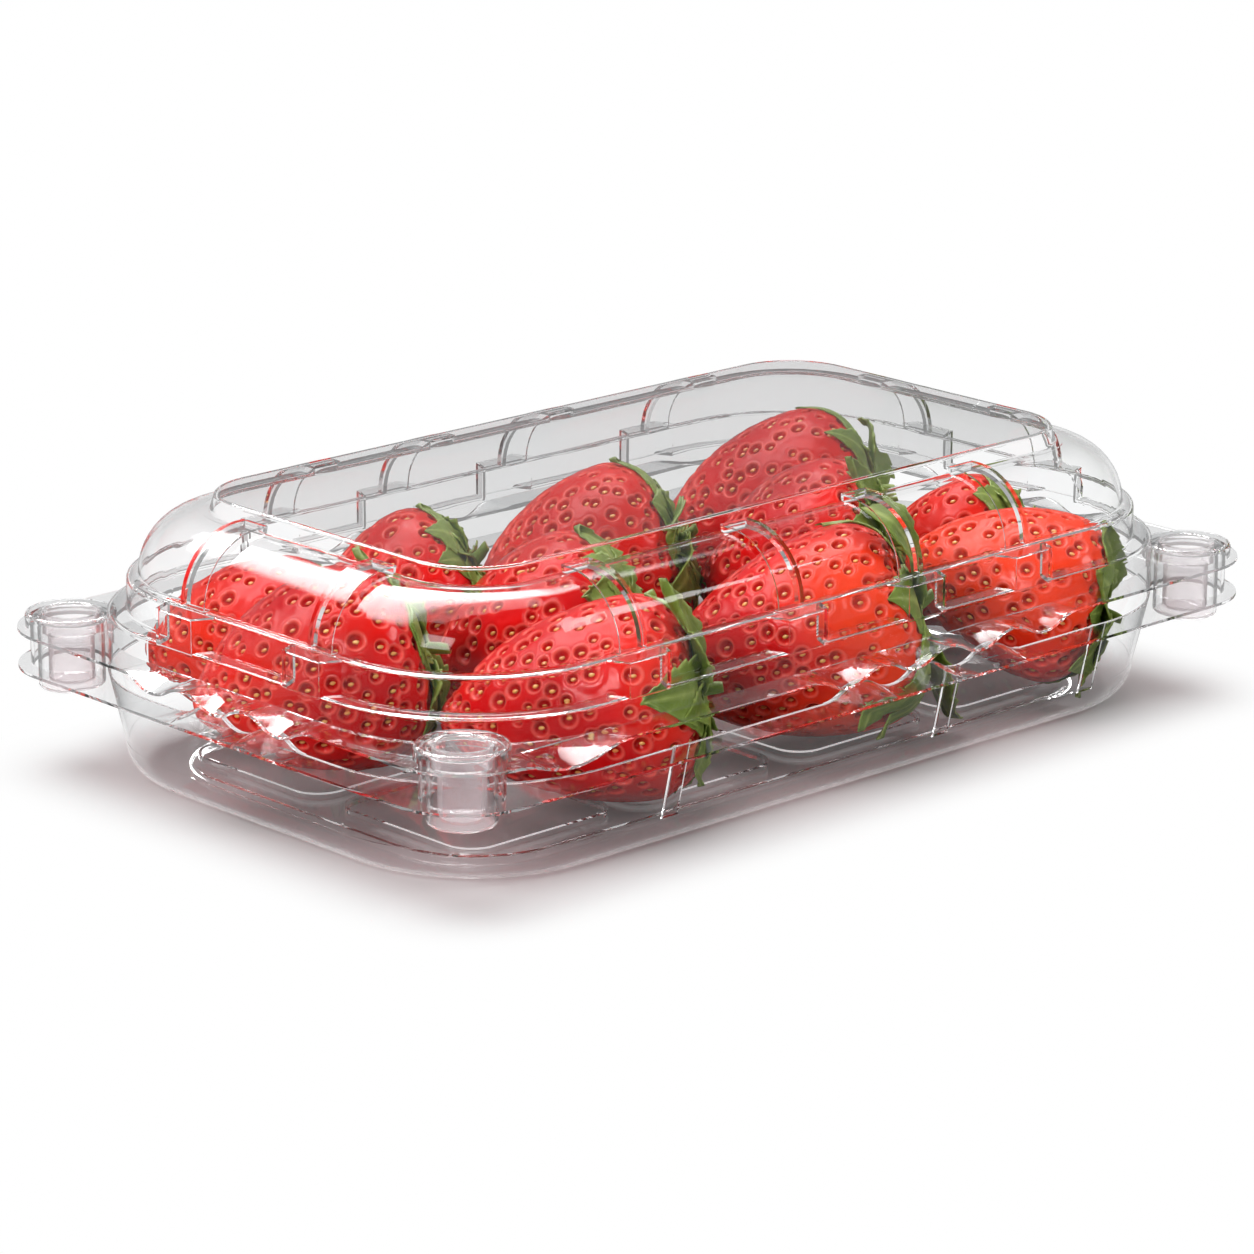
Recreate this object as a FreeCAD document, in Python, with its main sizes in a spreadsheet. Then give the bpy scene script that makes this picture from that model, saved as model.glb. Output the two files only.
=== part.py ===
"""Clear snap-lid fruit punnet filled with strawberries, as a parametric document.

The tray and the lid are each one thermoformed sheet of the same gauge.  Both stand on one
outline, so the lid's walls, ledges and snaps follow from the tray's sizes and a clearance.
Units are millimetres, Z is up, and the origin is under the middle of the tray's foot.
"""
import FreeCAD, Part
import math
import os
import re
import sys

import Sketcher
from FreeCAD import Placement, Rotation, Vector

SIZES = {
    # outline of both sheets
    "length": 187.0,
    "width": 116.0,
    "flange_width": 5.5,
    "flange_corner": 13.0,
    "body_corner": 30.0,
    "gauge": 0.5,
    "clearance": 0.3,
    "ring_bend": 0.3,
    # tray
    "tray_height": 17.5,
    "tray_draft": 2.6,
    "heel_radius": 6.0,
    "foot_width": 5.0,
    "floor_rise": 1.2,
    "panel_rise": 1.0,
    "panel_gap": 4.0,
    "panel_corner": 5.0,
    "flute_radius": 1.6,
    # lid
    "vent_gap": 6.3,
    "lower_wall": 4.4,
    "ledge": 3.3,
    "band_height": 5.6,
    "upper_ledge": 1.9,
    "shoulder_radius": 10.5,
    "shoulder_flat": 1.3,
    "top_step": 2.8,
    "top_draft": 0.8,
    # bosses and ribs round the lid
    "boss_width": 8.8,
    "boss_slant": 1.6,
    "rib_width": 5.8,
    "rib_height": 1.3,
    # waves in the flanges
    "vent_pitch": 15.4,
    "vent_drop": 2.1,
    "vent_rise": 2.3,
    "scoop_width": 25.0,
    "front_vents": 13.3,
    "end_vents": -0.9,
    "scoop": -69.5,
    # places along the near sides
    "boss_a": -48.5,
    "boss_b": 13.8,
    "boss_c": 39.4,
    "boss_d": 15.6,
    "flute_a": -41.4,
    "flute_b": 20.5,
    "flute_c": 56.3,
    # corner snaps
    "snap_radius": 7.5,
    "snap_edge": 1.2,
    "snap_rise": 2.7,
    "stud_radius": 4.7,
    "stud_step": 0.9,
    "stud_depth": 3.0,
    "snap_bend": 0.15,
    # shares and sizes common to all the fruit
    "tip_share": 0.28,
    "shoulder_share": 0.55,
    "pit_radius": 2.5,
    "pit_depth": 0.7,
    "pit_step": 0.4,
    "leaf_clearance": 0.25,
    "leaf_gauge": 0.6,
    "leaf_bend": 50.0,
    "calyx_hub": 0.3,
    "stem_radius": 1.1,
    "stem_length": 4.5,
}

# Each fruit: its length and radius, its middle, and the heading and tilt of its stem end.
FRUIT = {
    "a": (41.0, 16.6, -42.3, -27.1, 18.5, -43.0, 8.0),
    "b": (37.5, 17.0, -68.7, 5.6, 21.3, -38.0, 14.0),
    "c": (33.0, 14.8, -56.3, 37.0, 17.7, -50.0, 5.0),
    "d": (32.0, 14.6, -24.4, 37.1, 16.6, -40.0, 30.0),
    "e": (36.0, 16.6, -21.8, 3.7, 17.3, -48.0, 25.0),
    "f": (37.0, 17.4, 9.7, 27.1, 18.2, -43.0, 20.0),
    "g": (43.0, 17.6, 7.8, -26.2, 18.5, -35.0, 14.0),
    "h": (35.0, 16.4, 36.4, 0.4, 20.8, -60.0, 20.0),
    "i": (39.0, 17.6, 60.5, 31.2, 18.7, -43.0, 15.0),
    "j": (34.0, 14.8, 56.1, -30.3, 20.6, -50.0, -15.0),
    "k": (31.0, 13.6, 69.9, -3.3, 16.0, -60.0, 30.0),
}
FRUIT_WORDS = ("length", "radius", "x", "y", "z", "heading", "tilt")
SEPALS = 9
PITS = 9
for fruit, numbers in FRUIT.items():
    for word, number in zip(FRUIT_WORDS, numbers):
        SIZES[f"fruit_{fruit}_{word}"] = number

DERIVED = {
    "foot_x": "length / 2 - flange_width",
    "foot_y": "width / 2 - flange_width",
    "foot_inset": "tray_draft + heel_radius + foot_width",
    "floor_x": "foot_x - foot_inset",
    "floor_y": "foot_y - foot_inset",
    "panel_x": "(2 * floor_x - 5 * panel_gap) / 4",
    "panel_y": "(2 * floor_y - 3 * panel_gap) / 2",
    "lid_level": "tray_height + vent_gap",
    "ledge_level": "lid_level + lower_wall",
    "band_level": "ledge_level + band_height",
    "step_level": "band_level + shoulder_radius",
    "top_level": "step_level + top_step",
    "arc_inset": "ledge + upper_ledge + shoulder_radius",
    "step_inset": "arc_inset + shoulder_flat",
    "top_inset": "step_inset + top_draft",
    "snap_inset": "flange_corner + (snap_radius + snap_edge - flange_corner) * sqrt(0.5)",
    "snap_x": "length / 2 - snap_inset",
    "snap_y": "width / 2 - snap_inset",
    "snap_top": "lid_level + snap_rise",
    "stud_shelf": "lid_level - snap_rise / 2",
    "stud_low": "tray_height - stud_depth",
    "tower_radius": "snap_radius - gauge - clearance",
    "tower_top": "snap_top - gauge - clearance",
    "socket_radius": "stud_radius + clearance",
    "socket_low": "stud_low - clearance",
}

BOSSES = {"X": ("boss_a", "-boss_b", "boss_b", "boss_c"), "Y": ("-boss_d", "boss_d")}


def vent_row(middle, count, size):
    """A row of waves that touch: the place, width and size of each."""
    return [(f"{middle} + {number - (count - 1) / 2} * vent_pitch", "vent_pitch", size)
            for number in range(count)]


SCOOP = [("scoop", "scoop_width", "vent_drop")]
FRONT_DIPS = SCOOP + vent_row("front_vents", 4, "vent_drop")
END_DIPS = vent_row("end_vents", 3, "vent_drop")
FRONT_RISES = vent_row("front_vents", 3, "vent_rise")
END_RISES = vent_row("end_vents", 2, "vent_rise")
DIPS = {"Front": FRONT_DIPS, "Left": END_DIPS, "Back": FRONT_DIPS, "Right": END_DIPS}
RISES = {"Front": FRONT_RISES, "Left": END_RISES, "Back": FRONT_RISES, "Right": END_RISES}

doc = FreeCAD.newDocument("Punnet")
sheet = doc.addObject("Spreadsheet::Sheet", "Sizes")
for row, (alias, number) in enumerate(list(SIZES.items()) + list(DERIVED.items()), start=1):
    sheet.set(f"A{row}", alias)
    sheet.set(f"B{row}", f"={number}" if alias in DERIVED else str(number))
    sheet.setAlias(f"B{row}", alias)
doc.recompute()


def full(text):
    """The same expression with each size named through the sheet."""
    known = SIZES.keys() | DERIVED.keys()
    return re.sub(r"[a-z][a-z_]+", lambda m: f"Sizes.{m[0]}" if m[0] in known else m[0], text)


def value(text):
    """The number that an expression on the sheet has now."""
    return float(sheet.evalExpression(full(text)))


def bind(thing, name, text):
    """Ties one property to an expression on the sheet."""
    thing.setExpression(name, full(text))


def origin_part(body, role):
    return next(o for o in body.Origin.OriginFeatures if o.Role == role)


def new_sketch(body, name, role="XY_Plane", level="0"):
    """A sketch on one of the body's own planes, moved along that plane's normal."""
    sketch = body.newObject("Sketcher::SketchObject", name)
    sketch.AttachmentSupport = (origin_part(body, role), [""])
    sketch.MapMode = "FlatFace"
    bind(sketch, "AttachmentOffset.Base.z", level)
    return sketch


def arc_between(start, end, radius, turn):
    """A short arc from start to end; turn is 1 where it bends to the left."""
    chord = end - start
    left = Vector(-chord.y, chord.x, 0).normalize()
    reach = max(radius * radius - chord.Length * chord.Length / 4, 0) ** 0.5
    centre = (start + end) * 0.5 + left * (turn * reach)
    middle = centre - left * (turn * radius)
    return Part.Arc(start, middle, end)


def trace(sketch, points):
    """Draws a closed loop whose points and radii are all bound to the sheet.

    A point is (x, y), or (x, y, radius, turn) where an arc leads to it.
    """
    places = [Vector(value(x), value(y), 0) for x, y, *_ in points]
    edges = []
    for here, (_, _, *bend) in enumerate(points):
        start, end = places[here - 1], places[here]
        if bend:
            edges.append(arc_between(start, end, value(bend[0]), bend[1]))
        else:
            edges.append(Part.LineSegment(start, end))
    first = sketch.addGeometry(edges, False)[0]
    ends = [(1, 2) if len(point) < 4 or point[3] > 0 else (2, 1) for point in points]
    for here, (x, y, *bend) in enumerate(points):
        edge, following = first + here, first + (here + 1) % len(points)
        finish, begin = ends[here][1], ends[(here + 1) % len(points)][0]
        sketch.addConstraint(Sketcher.Constraint("Coincident", edge, finish, following, begin))
        for kind, text in (("DistanceX", x), ("DistanceY", y)):
            number = sketch.addConstraint(
                Sketcher.Constraint(kind, -1, 1, edge, finish, value(text)))
            bind(sketch, f"Constraints[{number}]", text)
        if bend:
            number = sketch.addConstraint(
                Sketcher.Constraint("Radius", edge, value(bend[0])))
            bind(sketch, f"Constraints[{number}]", bend[0])


def trace_rounded(sketch, half_x, half_y, corner, middle=("0", "0"), from_side=False):
    """A rectangle with four equal round corners; from_side starts it half-way up its right."""
    points = []
    if from_side:
        points.append((f"{half_x}", "0"))
    for sign_x, sign_y in (("+", "+"), ("-", "+"), ("-", "-"), ("+", "-")):
        far_x, far_y = f"{middle[0]} {sign_x} ({half_x})", f"{middle[1]} {sign_y} ({half_y})"
        back_x = "-" if sign_x == "+" else "+"
        back_y = "-" if sign_y == "+" else "+"
        beside = (far_x, f"{far_y} {back_y} ({corner})")
        level = (f"{far_x} {back_x} ({corner})", far_y)
        first, last = (beside, level) if sign_x == sign_y else (level, beside)
        points.append(first)
        points.append((*last, corner, 1))
    trace(sketch, points)


def add_feature(body, kind, name, sketch, length=None, reverse=False, symmetric=False):
    """A Pad or Pocket of a sketch, or with no length a turn about the sketch's own axis."""
    feature = body.newObject(f"PartDesign::{kind}", name)
    feature.Profile = sketch
    if length is None:
        feature.ReferenceAxis = (sketch, ["Axis0"])
        feature.Angle = 360
    else:
        bind(feature, "Length", length)
    feature.Reversed = reverse
    if symmetric:
        feature.SideType = "Symmetric"
    return feature


def sheet_wall(body, name, outer, inner):
    """One closed run of sheet whose section goes round the common outline."""
    spine = new_sketch(body, f"{name}Spine")
    trace_rounded(spine, "foot_x", "foot_y", "body_corner", from_side=True)
    section = new_sketch(body, f"{name}Section", "XZ_Plane")
    trace(section, outer + inner)
    wall = body.newObject("PartDesign::AdditivePipe", f"{name}Wall")
    wall.Profile = section
    wall.Spine = spine
    return wall


def flange(body, name, level):
    """The flat rim round a sheet, open over the cavity."""
    outline = new_sketch(body, f"{name}Outline", level=level)
    trace_rounded(outline, "length / 2", "width / 2", "flange_corner")
    trace_rounded(outline, "foot_x - gauge / 2", "foot_y - gauge / 2", "body_corner - gauge / 2")
    return add_feature(body, "Pad", name, outline, "gauge")


def inset_at(point):
    """How far inward from the walls' foot line a point lies, seen from above."""
    past_x = max(abs(point.x) - value("foot_x - body_corner"), 0)
    past_y = max(abs(point.y) - value("foot_y - body_corner"), 0)
    return value("body_corner") - math.hypot(past_x, past_y)


def ease_rings(body, name, rings, radius):
    """Rounds the edges that run all round the sheet, each found by its inset and its level."""
    doc.recompute()
    base = body.Tip
    places = [(value(inset), value(level)) for inset, level in rings]
    chosen = []
    for number, edge in enumerate(base.Shape.Edges, start=1):
        start, end = edge.ParameterRange
        middle = edge.valueAt((start + end) / 2)
        spot = (inset_at(middle), middle.z)
        level_run = edge.BoundBox.ZLength < 0.01
        if level_run and any(math.dist(spot, place) < 0.01 for place in places):
            chosen.append(f"Edge{number}")
    fillet = body.newObject("PartDesign::Fillet", name)
    fillet.Base = (base, chosen)
    bind(fillet, "Radius", radius)


# Each side: the axis that it runs along, and which way it lies from the middle.  The far
# sides are the near ones after half a turn, so places along them change sign.
SIDES = {"Front": ("X", -1), "Left": ("Y", -1), "Back": ("X", 1), "Right": ("Y", 1)}


def along(side, place):
    """A place along a side, as a coordinate."""
    return place if SIDES[side][1] < 0 else f"-({place})"


def across(side, inward):
    """A distance inward from the walls' foot line, as a coordinate."""
    axis, sign = SIDES[side]
    foot = "foot_y" if axis == "X" else "foot_x"
    return f"{sign} * ({foot} - ({inward}))"


def on_plan(side, place, inward):
    """A point given along a side and inward from its foot line, seen from above."""
    pair = (along(side, place), across(side, inward))
    return pair if SIDES[side][0] == "X" else pair[::-1]


def facing_sketch(body, name, side, inward):
    """A sketch that faces one side, with that side's axis to the right and Z up."""
    if SIDES[side][0] == "X":
        return new_sketch(body, name, "XZ_Plane", f"-({across(side, inward)})")
    return new_sketch(body, name, "YZ_Plane", across(side, inward))


def either(condition):
    return "+" if condition else "-"


def wave_edge(wave, base, turn, upper):
    """One wave along one face of the sheet, left to right: three arcs that meet smoothly.

    turn is 1 for a dip and -1 for a rise.
    """
    place, width, size = wave
    slope = f"2 * atan(2 * {size} / {width})"
    radius = f"{width} / (4 * sin({slope}))"
    face = 1 if upper else -1
    outer = f"{radius} {either(face * turn > 0)} gauge / 2"
    inner = f"{radius} {either(face * turn < 0)} gauge / 2"
    lean = f"gauge / 2 * sin({slope})"
    level = (f"{base} + gauge / 2 {either(turn < 0)} {size} / 2"
             f" {either(upper)} gauge / 2 * cos({slope})")
    end = f"{base} + gauge" if upper else base
    return [(f"{place} - {width} / 2", end),
            (f"{place} - {width} / 4 {either(face * turn > 0)} {lean}", level, outer, -turn),
            (f"{place} + {width} / 4 {either(face * turn < 0)} {lean}", level, inner, turn),
            (f"{place} + {width} / 2", end, outer, -turn)]


def backwards(points):
    """The same run of points, walked the other way."""
    walked = [points[-1][:2]]
    for here, after in zip(points[-2::-1], points[:0:-1]):
        bend = (after[2], -after[3]) if len(after) > 2 else ()
        walked.append((*here[:2], *bend))
    return walked


def wave_run(waves, base, turn, upper):
    """Waves one after another; a wave that starts where the last one ended shares its point."""
    run = []
    for wave in waves:
        points = wave_edge(wave, base, turn, upper)
        joined = run and abs(value(run[-1][0]) - value(points[0][0])) < 0.001
        run += points[1:] if joined else points
    return run


def on_side(side, waves):
    """Waves as they lie along a side, from left to right in its sketch."""
    placed = [(along(side, place), width, size) for place, width, size in waves]
    return sorted(placed, key=lambda wave: value(wave[0]))


def clear_strips(body, name, vents, base):
    """Cuts the flat flange away where the waves are to lie, on all sides at once."""
    cut = new_sketch(body, f"{name}Outline", level=f"{base} - gauge")
    for side, waves in vents.items():
        run = wave_run(waves, base, 1, True)
        ends = [point for point in run if len(point) == 2]
        starts = [run.index(point) for point in ends] + [len(run)]
        for first, after in zip(starts, starts[1:]):
            low, high = run[first][0], run[after - 1][0]
            trace(cut, [on_plan(side, low, "-flange_width - gauge"), on_plan(side, low, "0"),
                        on_plan(side, high, "0"), on_plan(side, high, "-flange_width - gauge")])
    return add_feature(body, "Pocket", name, cut, "3 * gauge", reverse=True)


def add_waves(body, name, side, waves, base, turn):
    """A wavy run of flange: a dip is deepest at the flange's edge, a rise at its root."""
    placed = on_side(side, waves)
    deep, shallow = "-flange_width", "gauge / 2"
    if turn < 0:
        deep, shallow = shallow, deep
    upper, lower = (wave_run(placed, base, turn, face) for face in (True, False))
    outline = upper + backwards(lower)
    wavy = facing_sketch(body, f"{name}{side}Wavy", side, deep)
    trace(wavy, outline)
    flat = facing_sketch(body, f"{name}{side}Flat", side, shallow)
    middle = len(upper)
    trace(flat, [(x, f"{base} + gauge" if number < middle else base)
                 for number, (x, *_) in enumerate(outline)])
    loft = body.newObject("PartDesign::AdditiveLoft", f"{name}{side}")
    loft.Profile = wavy
    loft.Sections = [flat]
    loft.Ruled = True
    return loft


def add_arches(body, name, side, waves, base):
    """The upright wall that closes the sheet under a run of rises."""
    upper = wave_run(on_side(side, waves), base, -1, True)
    wall = facing_sketch(body, f"{name}{side}Arches", side, "gauge / 2")
    trace(wall, [(upper[0][0], base), *upper, (upper[-1][0], base)])
    return add_feature(body, "Pad", f"{name}{side}Wall", wall, "gauge", symmetric=True)


def add_bosses(body):
    """Hollow blocks on the ledge, flush with the lower wall and with the band's top."""
    for kind, thick, tall in (("Pad", "0", "band_height + gauge"),
                              ("Pocket", "gauge", "band_height")):
        outline = new_sketch(body, f"Boss{kind}Outline", level="ledge_level - gauge")
        depth = "ledge + gauge / 2" if kind == "Pad" else "ledge + gauge"
        for side, (axis, _) in SIDES.items():
            for place in BOSSES[axis]:
                front = f"boss_width / 2 - {thick}"
                root = f"boss_width / 2 + boss_slant - {thick}"
                trace(outline, [on_plan(side, f"{place} - ({front})", thick),
                                on_plan(side, f"{place} - ({root})", depth),
                                on_plan(side, f"{place} + ({root})", depth),
                                on_plan(side, f"{place} + ({front})", thick)])
        add_feature(body, kind, f"Boss{kind}", outline, tall, reverse=kind == "Pocket")


def rib_points(side, outer, inner, end, foot=None):
    """A strip over the shoulder's quarter circle, seen along the side; foot extends it down."""
    sign = SIDES[side][1]
    centre = across(side, "arc_inset")
    stop = across(side, end)
    outside, inside = f"{centre} + {sign} * {outer}", f"{centre} + {sign} * {inner}"
    below = [(inside, f"band_level - {foot}"), (outside, f"band_level - {foot}")] if foot else []
    return below + [(outside, "band_level"),
                    (centre, f"band_level + {outer}", outer, sign),
                    (stop, f"band_level + {outer}"),
                    (stop, f"band_level + {inner}"),
                    (centre, f"band_level + {inner}"),
                    (inside, "band_level", inner, -sign)]


def add_ribs(body):
    """Hollow ribs over the shoulder, from above each boss to the foot of the top panel."""
    rows = {}
    for side, (axis, _) in SIDES.items():
        for place in BOSSES[axis]:
            spot = along(side, place)
            rows.setdefault((axis, round(value(spot), 3)), (spot, []))[1].append(side)
    for number, ((axis, _), (spot, sides)) in enumerate(rows.items(), start=1):
        role, level = ("YZ_Plane", spot) if axis == "X" else ("XZ_Plane", f"-({spot})")
        for kind, outer, inner, end, foot, wide in (
                ("Pad", "(shoulder_radius + rib_height)", "(shoulder_radius - gauge / 2)",
                 "step_inset + gauge / 2", "gauge / 2", "rib_width"),
                ("Pocket", "(shoulder_radius + rib_height - gauge)",
                 "(shoulder_radius - 2 * gauge)", "step_inset", None,
                 "rib_width - 2 * gauge")):
            strip = new_sketch(body, f"Rib{number}{kind}Side", role, level)
            for side in sides:
                trace(strip, rib_points(side, outer, inner, end, foot))
            add_feature(body, kind, f"Rib{number}{kind}", strip, wide, symmetric=True)


def add_flutes(body):
    """Half-round grooves down the tray's long walls."""
    for kind, radius, back, low in (
            ("Additive", "(flute_radius + gauge)", "gauge / 4", "heel_radius - gauge"),
            ("Subtractive", "flute_radius", "-gauge", "heel_radius")):
        for side in ("Front", "Back"):
            for number, place in enumerate(("flute_a", "flute_b", "flute_c"), start=1):
                name = f"{side}Flute{number}{kind}"
                left, right = f"{place} - 0.95 * {radius}", f"{place} + 0.95 * {radius}"
                rings = []
                for level, inset in (("tray_height", "0"), (low, "tray_draft")):
                    ring = new_sketch(body, f"{name}{len(rings)}", level=level)
                    turn = 1 if side == "Front" else -1
                    corners = [on_plan(side, left, f"{inset} + {back}"),
                               on_plan(side, right, f"{inset} + {back}"),
                               on_plan(side, right, f"{inset} + gauge / 2"),
                               on_plan(side, left, f"{inset} + gauge / 2")]
                    trace(ring, corners[:3] + [(*corners[3], radius, 1)])
                    rings.append(ring)
                loft = body.newObject(f"PartDesign::{kind}Loft", name)
                loft.Profile = rings[0]
                loft.Sections = rings[1:]
                loft.Ruled = True


def eased(points):
    """A formed sheet's section with bends in place of its right-angled corners.

    A corner stays sharp at the end of a leg that is only as long as the sheet is thick.
    """
    spots = [Vector(value(x), value(z), 0) for x, z in points]
    pairs = list(zip(spots, spots[1:] + spots[:1]))
    area = sum(start.x * end.y - end.x * start.y for start, end in pairs)
    loop = []
    for number, (x, z) in enumerate(points):
        into, out = spots[number] - spots[number - 1], pairs[number][1] - spots[number]
        if min(into.Length, out.Length) < value("1.3 * gauge"):
            loop.append((x, z))
            continue
        into.normalize()
        out.normalize()
        turn = 1 if into.x * out.y - into.y * out.x > 0 else -1
        radius = "(snap_bend + gauge)" if turn * area > 0 else "snap_bend"
        loop.append((f"{x} - {round(into.x)} * {radius}", f"{z} - {round(into.y)} * {radius}"))
        loop.append((f"{x} + {round(out.x)} * {radius}", f"{z} + {round(out.y)} * {radius}",
                     radius, turn))
    return loop


def snap_profile(body, name, points):
    """A sketch through a corner snap's centre, turned about the upright line there."""
    sketch = new_sketch(body, name, "XZ_Plane", "-snap_y")
    mirrored = []
    for x, z, *bend in points:
        arc = (bend[0], -bend[1]) if bend else ()
        mirrored.append((f"snap_x - ({x})", z, *arc))
    trace(sketch, mirrored)
    middle = value("snap_x")
    upright = Part.LineSegment(Vector(middle, 0, 0), Vector(middle, 1, 0))
    axis = sketch.addGeometry([upright], True)[0]
    sketch.addConstraint(Sketcher.Constraint("Vertical", axis))
    sketch.addConstraint(Sketcher.Constraint("PointOnObject", axis, 1, -1))
    sketch.addConstraint(Sketcher.Constraint("Distance", axis, 1))
    number = sketch.addConstraint(Sketcher.Constraint("DistanceX", -1, 1, axis, 1, middle))
    bind(sketch, f"Constraints[{number}]", "snap_x")
    return sketch


def all_corners(body, name, features):
    """Repeats features in the other three corners."""
    pattern = body.newObject("PartDesign::MultiTransform", name)
    pattern.Originals = features
    mirrors = []
    for role in ("YZ_Plane", "XZ_Plane"):
        mirror = body.newObject("PartDesign::Mirrored", f"{name}{role[:2]}")
        mirror.MirrorPlane = (origin_part(body, role), [""])
        mirrors.append(mirror)
    pattern.Transformations = mirrors
    body.Tip = pattern
    return pattern


def add_floor(body):
    """The floor and its two rows of four raised panels."""
    plate = new_sketch(body, "FloorOutline", level="floor_rise")
    trace_rounded(plate, "floor_x - gauge / 2", "floor_y - gauge / 2",
                  "body_corner - foot_inset - gauge / 2")
    add_feature(body, "Pad", "Floor", plate, "gauge")
    middle = ("panel_gap + panel_x / 2 - floor_x", "panel_gap + panel_y / 2 - floor_y")
    skin = new_sketch(body, "PanelSkin", level="floor_rise + gauge / 2")
    trace_rounded(skin, "panel_x / 2", "panel_y / 2", "panel_corner", middle)
    panel = add_feature(body, "Pad", "Panel", skin, "panel_rise + gauge / 2")
    core = new_sketch(body, "PanelCore", level="floor_rise")
    trace_rounded(core, "panel_x / 2 - gauge", "panel_y / 2 - gauge", "panel_corner - gauge",
                  middle)
    hollow = add_feature(body, "Pocket", "PanelHollow", core, "panel_rise", reverse=True)
    grid = body.newObject("PartDesign::MultiTransform", "Panels")
    grid.Originals = [panel, hollow]
    rows = []
    for axis, step, count in (("X_Axis", "panel_x", 4), ("Y_Axis", "panel_y", 2)):
        row = body.newObject("PartDesign::LinearPattern", f"Panels{axis[0]}")
        row.Direction = (origin_part(body, axis), [""])
        row.Occurrences = count
        bind(row, "Length", f"({step} + panel_gap) * {count - 1}")
        rows.append(row)
    grid.Transformations = rows
    body.Tip = grid


def add_snaps(body, name, level, opened, profile):
    """One corner snap: the sheet inside it is cleared, then its turned section is added."""
    reach, top = opened
    clear = snap_profile(body, f"{name}Clear",
                         [(reach, level), (reach, top), ("0", top), ("0", level)])
    groove = add_feature(body, "Groove", f"{name}Groove", clear)
    section = snap_profile(body, f"{name}Section", eased(profile))
    turned = add_feature(body, "Revolution", name, section)
    return all_corners(body, f"{name}s", [groove, turned])


# Tray -------------------------------------------------------------------------------------
tray = doc.addObject("PartDesign::Body", "tray")
sheet_wall(
    tray, "Tray",
    [("foot_x", "tray_height"),
     ("foot_x - tray_draft", "heel_radius"),
     ("floor_x + foot_width", "0", "heel_radius", -1),
     ("floor_x", "0"),
     ("floor_x", "floor_rise"),
     ("floor_x - gauge", "floor_rise")],
    [("floor_x - gauge", "floor_rise + gauge"),
     ("floor_x + gauge", "floor_rise + gauge"),
     ("floor_x + gauge", "gauge"),
     ("floor_x + foot_width", "gauge"),
     ("foot_x - tray_draft - gauge", "heel_radius", "heel_radius - gauge", 1),
     ("foot_x - gauge", "tray_height")])
add_floor(tray)
ease_rings(tray, "TrayFootBends", [("foot_inset", "0"),
                                   ("foot_inset - gauge", "floor_rise + gauge")],
           "ring_bend + gauge")
ease_rings(tray, "TrayFloorBends", [("foot_inset", "floor_rise"),
                                    ("foot_inset - gauge", "gauge")],
           "ring_bend")
add_flutes(tray)
flange(tray, "TrayFlange", "tray_height")
clear_strips(tray, "RiseGaps", RISES, "tray_height")
for side, waves in RISES.items():
    add_waves(tray, "Rises", side, waves, "tray_height", -1)
    add_arches(tray, "Rises", side, waves, "tray_height")
add_snaps(
    tray, "Socket", "tray_height", ("tower_radius - gauge / 2", "tray_height + 2 * gauge"),
    [("tower_radius - gauge", "tray_height"),
     ("tower_radius - gauge", "tower_top - gauge"),
     ("socket_radius + gauge", "tower_top - gauge"),
     ("socket_radius + gauge", "socket_low - gauge"),
     ("0", "socket_low - gauge"),
     ("0", "socket_low"),
     ("socket_radius", "socket_low"),
     ("socket_radius", "tower_top"),
     ("tower_radius", "tower_top"),
     ("tower_radius", "tray_height")])

# Lid --------------------------------------------------------------------------------------
lid = doc.addObject("PartDesign::Body", "lid")
sheet_wall(
    lid, "Lid",
    [("foot_x", "lid_level"),
     ("foot_x", "ledge_level"),
     ("foot_x - ledge", "ledge_level"),
     ("foot_x - ledge", "band_level"),
     ("foot_x - ledge - upper_ledge", "band_level"),
     ("foot_x - arc_inset", "step_level", "shoulder_radius", 1),
     ("foot_x - step_inset", "step_level"),
     ("foot_x - top_inset", "top_level"),
     ("foot_x - top_inset - gauge", "top_level")],
    [("foot_x - top_inset - gauge", "top_level - gauge"),
     ("foot_x - step_inset - gauge", "step_level - gauge"),
     ("foot_x - arc_inset", "step_level - gauge"),
     ("foot_x - ledge - upper_ledge - gauge", "band_level", "shoulder_radius - gauge", -1),
     ("foot_x - ledge - upper_ledge - gauge", "band_level - gauge"),
     ("foot_x - ledge - gauge", "band_level - gauge"),
     ("foot_x - ledge - gauge", "ledge_level - gauge"),
     ("foot_x - gauge", "ledge_level - gauge"),
     ("foot_x - gauge", "lid_level")])
top = new_sketch(lid, "TopOutline", level="top_level - gauge")
trace_rounded(top, "foot_x - top_inset - gauge / 2", "foot_y - top_inset - gauge / 2",
              "body_corner - top_inset - gauge / 2")
add_feature(lid, "Pad", "TopPanel", top, "gauge")
ease_rings(lid, "LidOuterBends", [("0", "ledge_level"),
                                  ("ledge + gauge", "ledge_level - gauge"),
                                  ("ledge", "band_level"),
                                  ("ledge + upper_ledge + gauge", "band_level - gauge"),
                                  ("step_inset + gauge", "step_level - gauge"),
                                  ("top_inset", "top_level")],
           "ring_bend + gauge")
ease_rings(lid, "LidInnerBends", [("gauge", "ledge_level - gauge"),
                                  ("ledge", "ledge_level"),
                                  ("ledge + gauge", "band_level - gauge"),
                                  ("ledge + upper_ledge", "band_level"),
                                  ("step_inset", "step_level"),
                                  ("top_inset + gauge", "top_level - gauge")],
           "ring_bend")
flange(lid, "LidFlange", "lid_level")
clear_strips(lid, "DipGaps", DIPS, "lid_level")
for side, waves in DIPS.items():
    add_waves(lid, "Dips", side, waves, "lid_level", 1)
add_bosses(lid)
add_ribs(lid)
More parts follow.
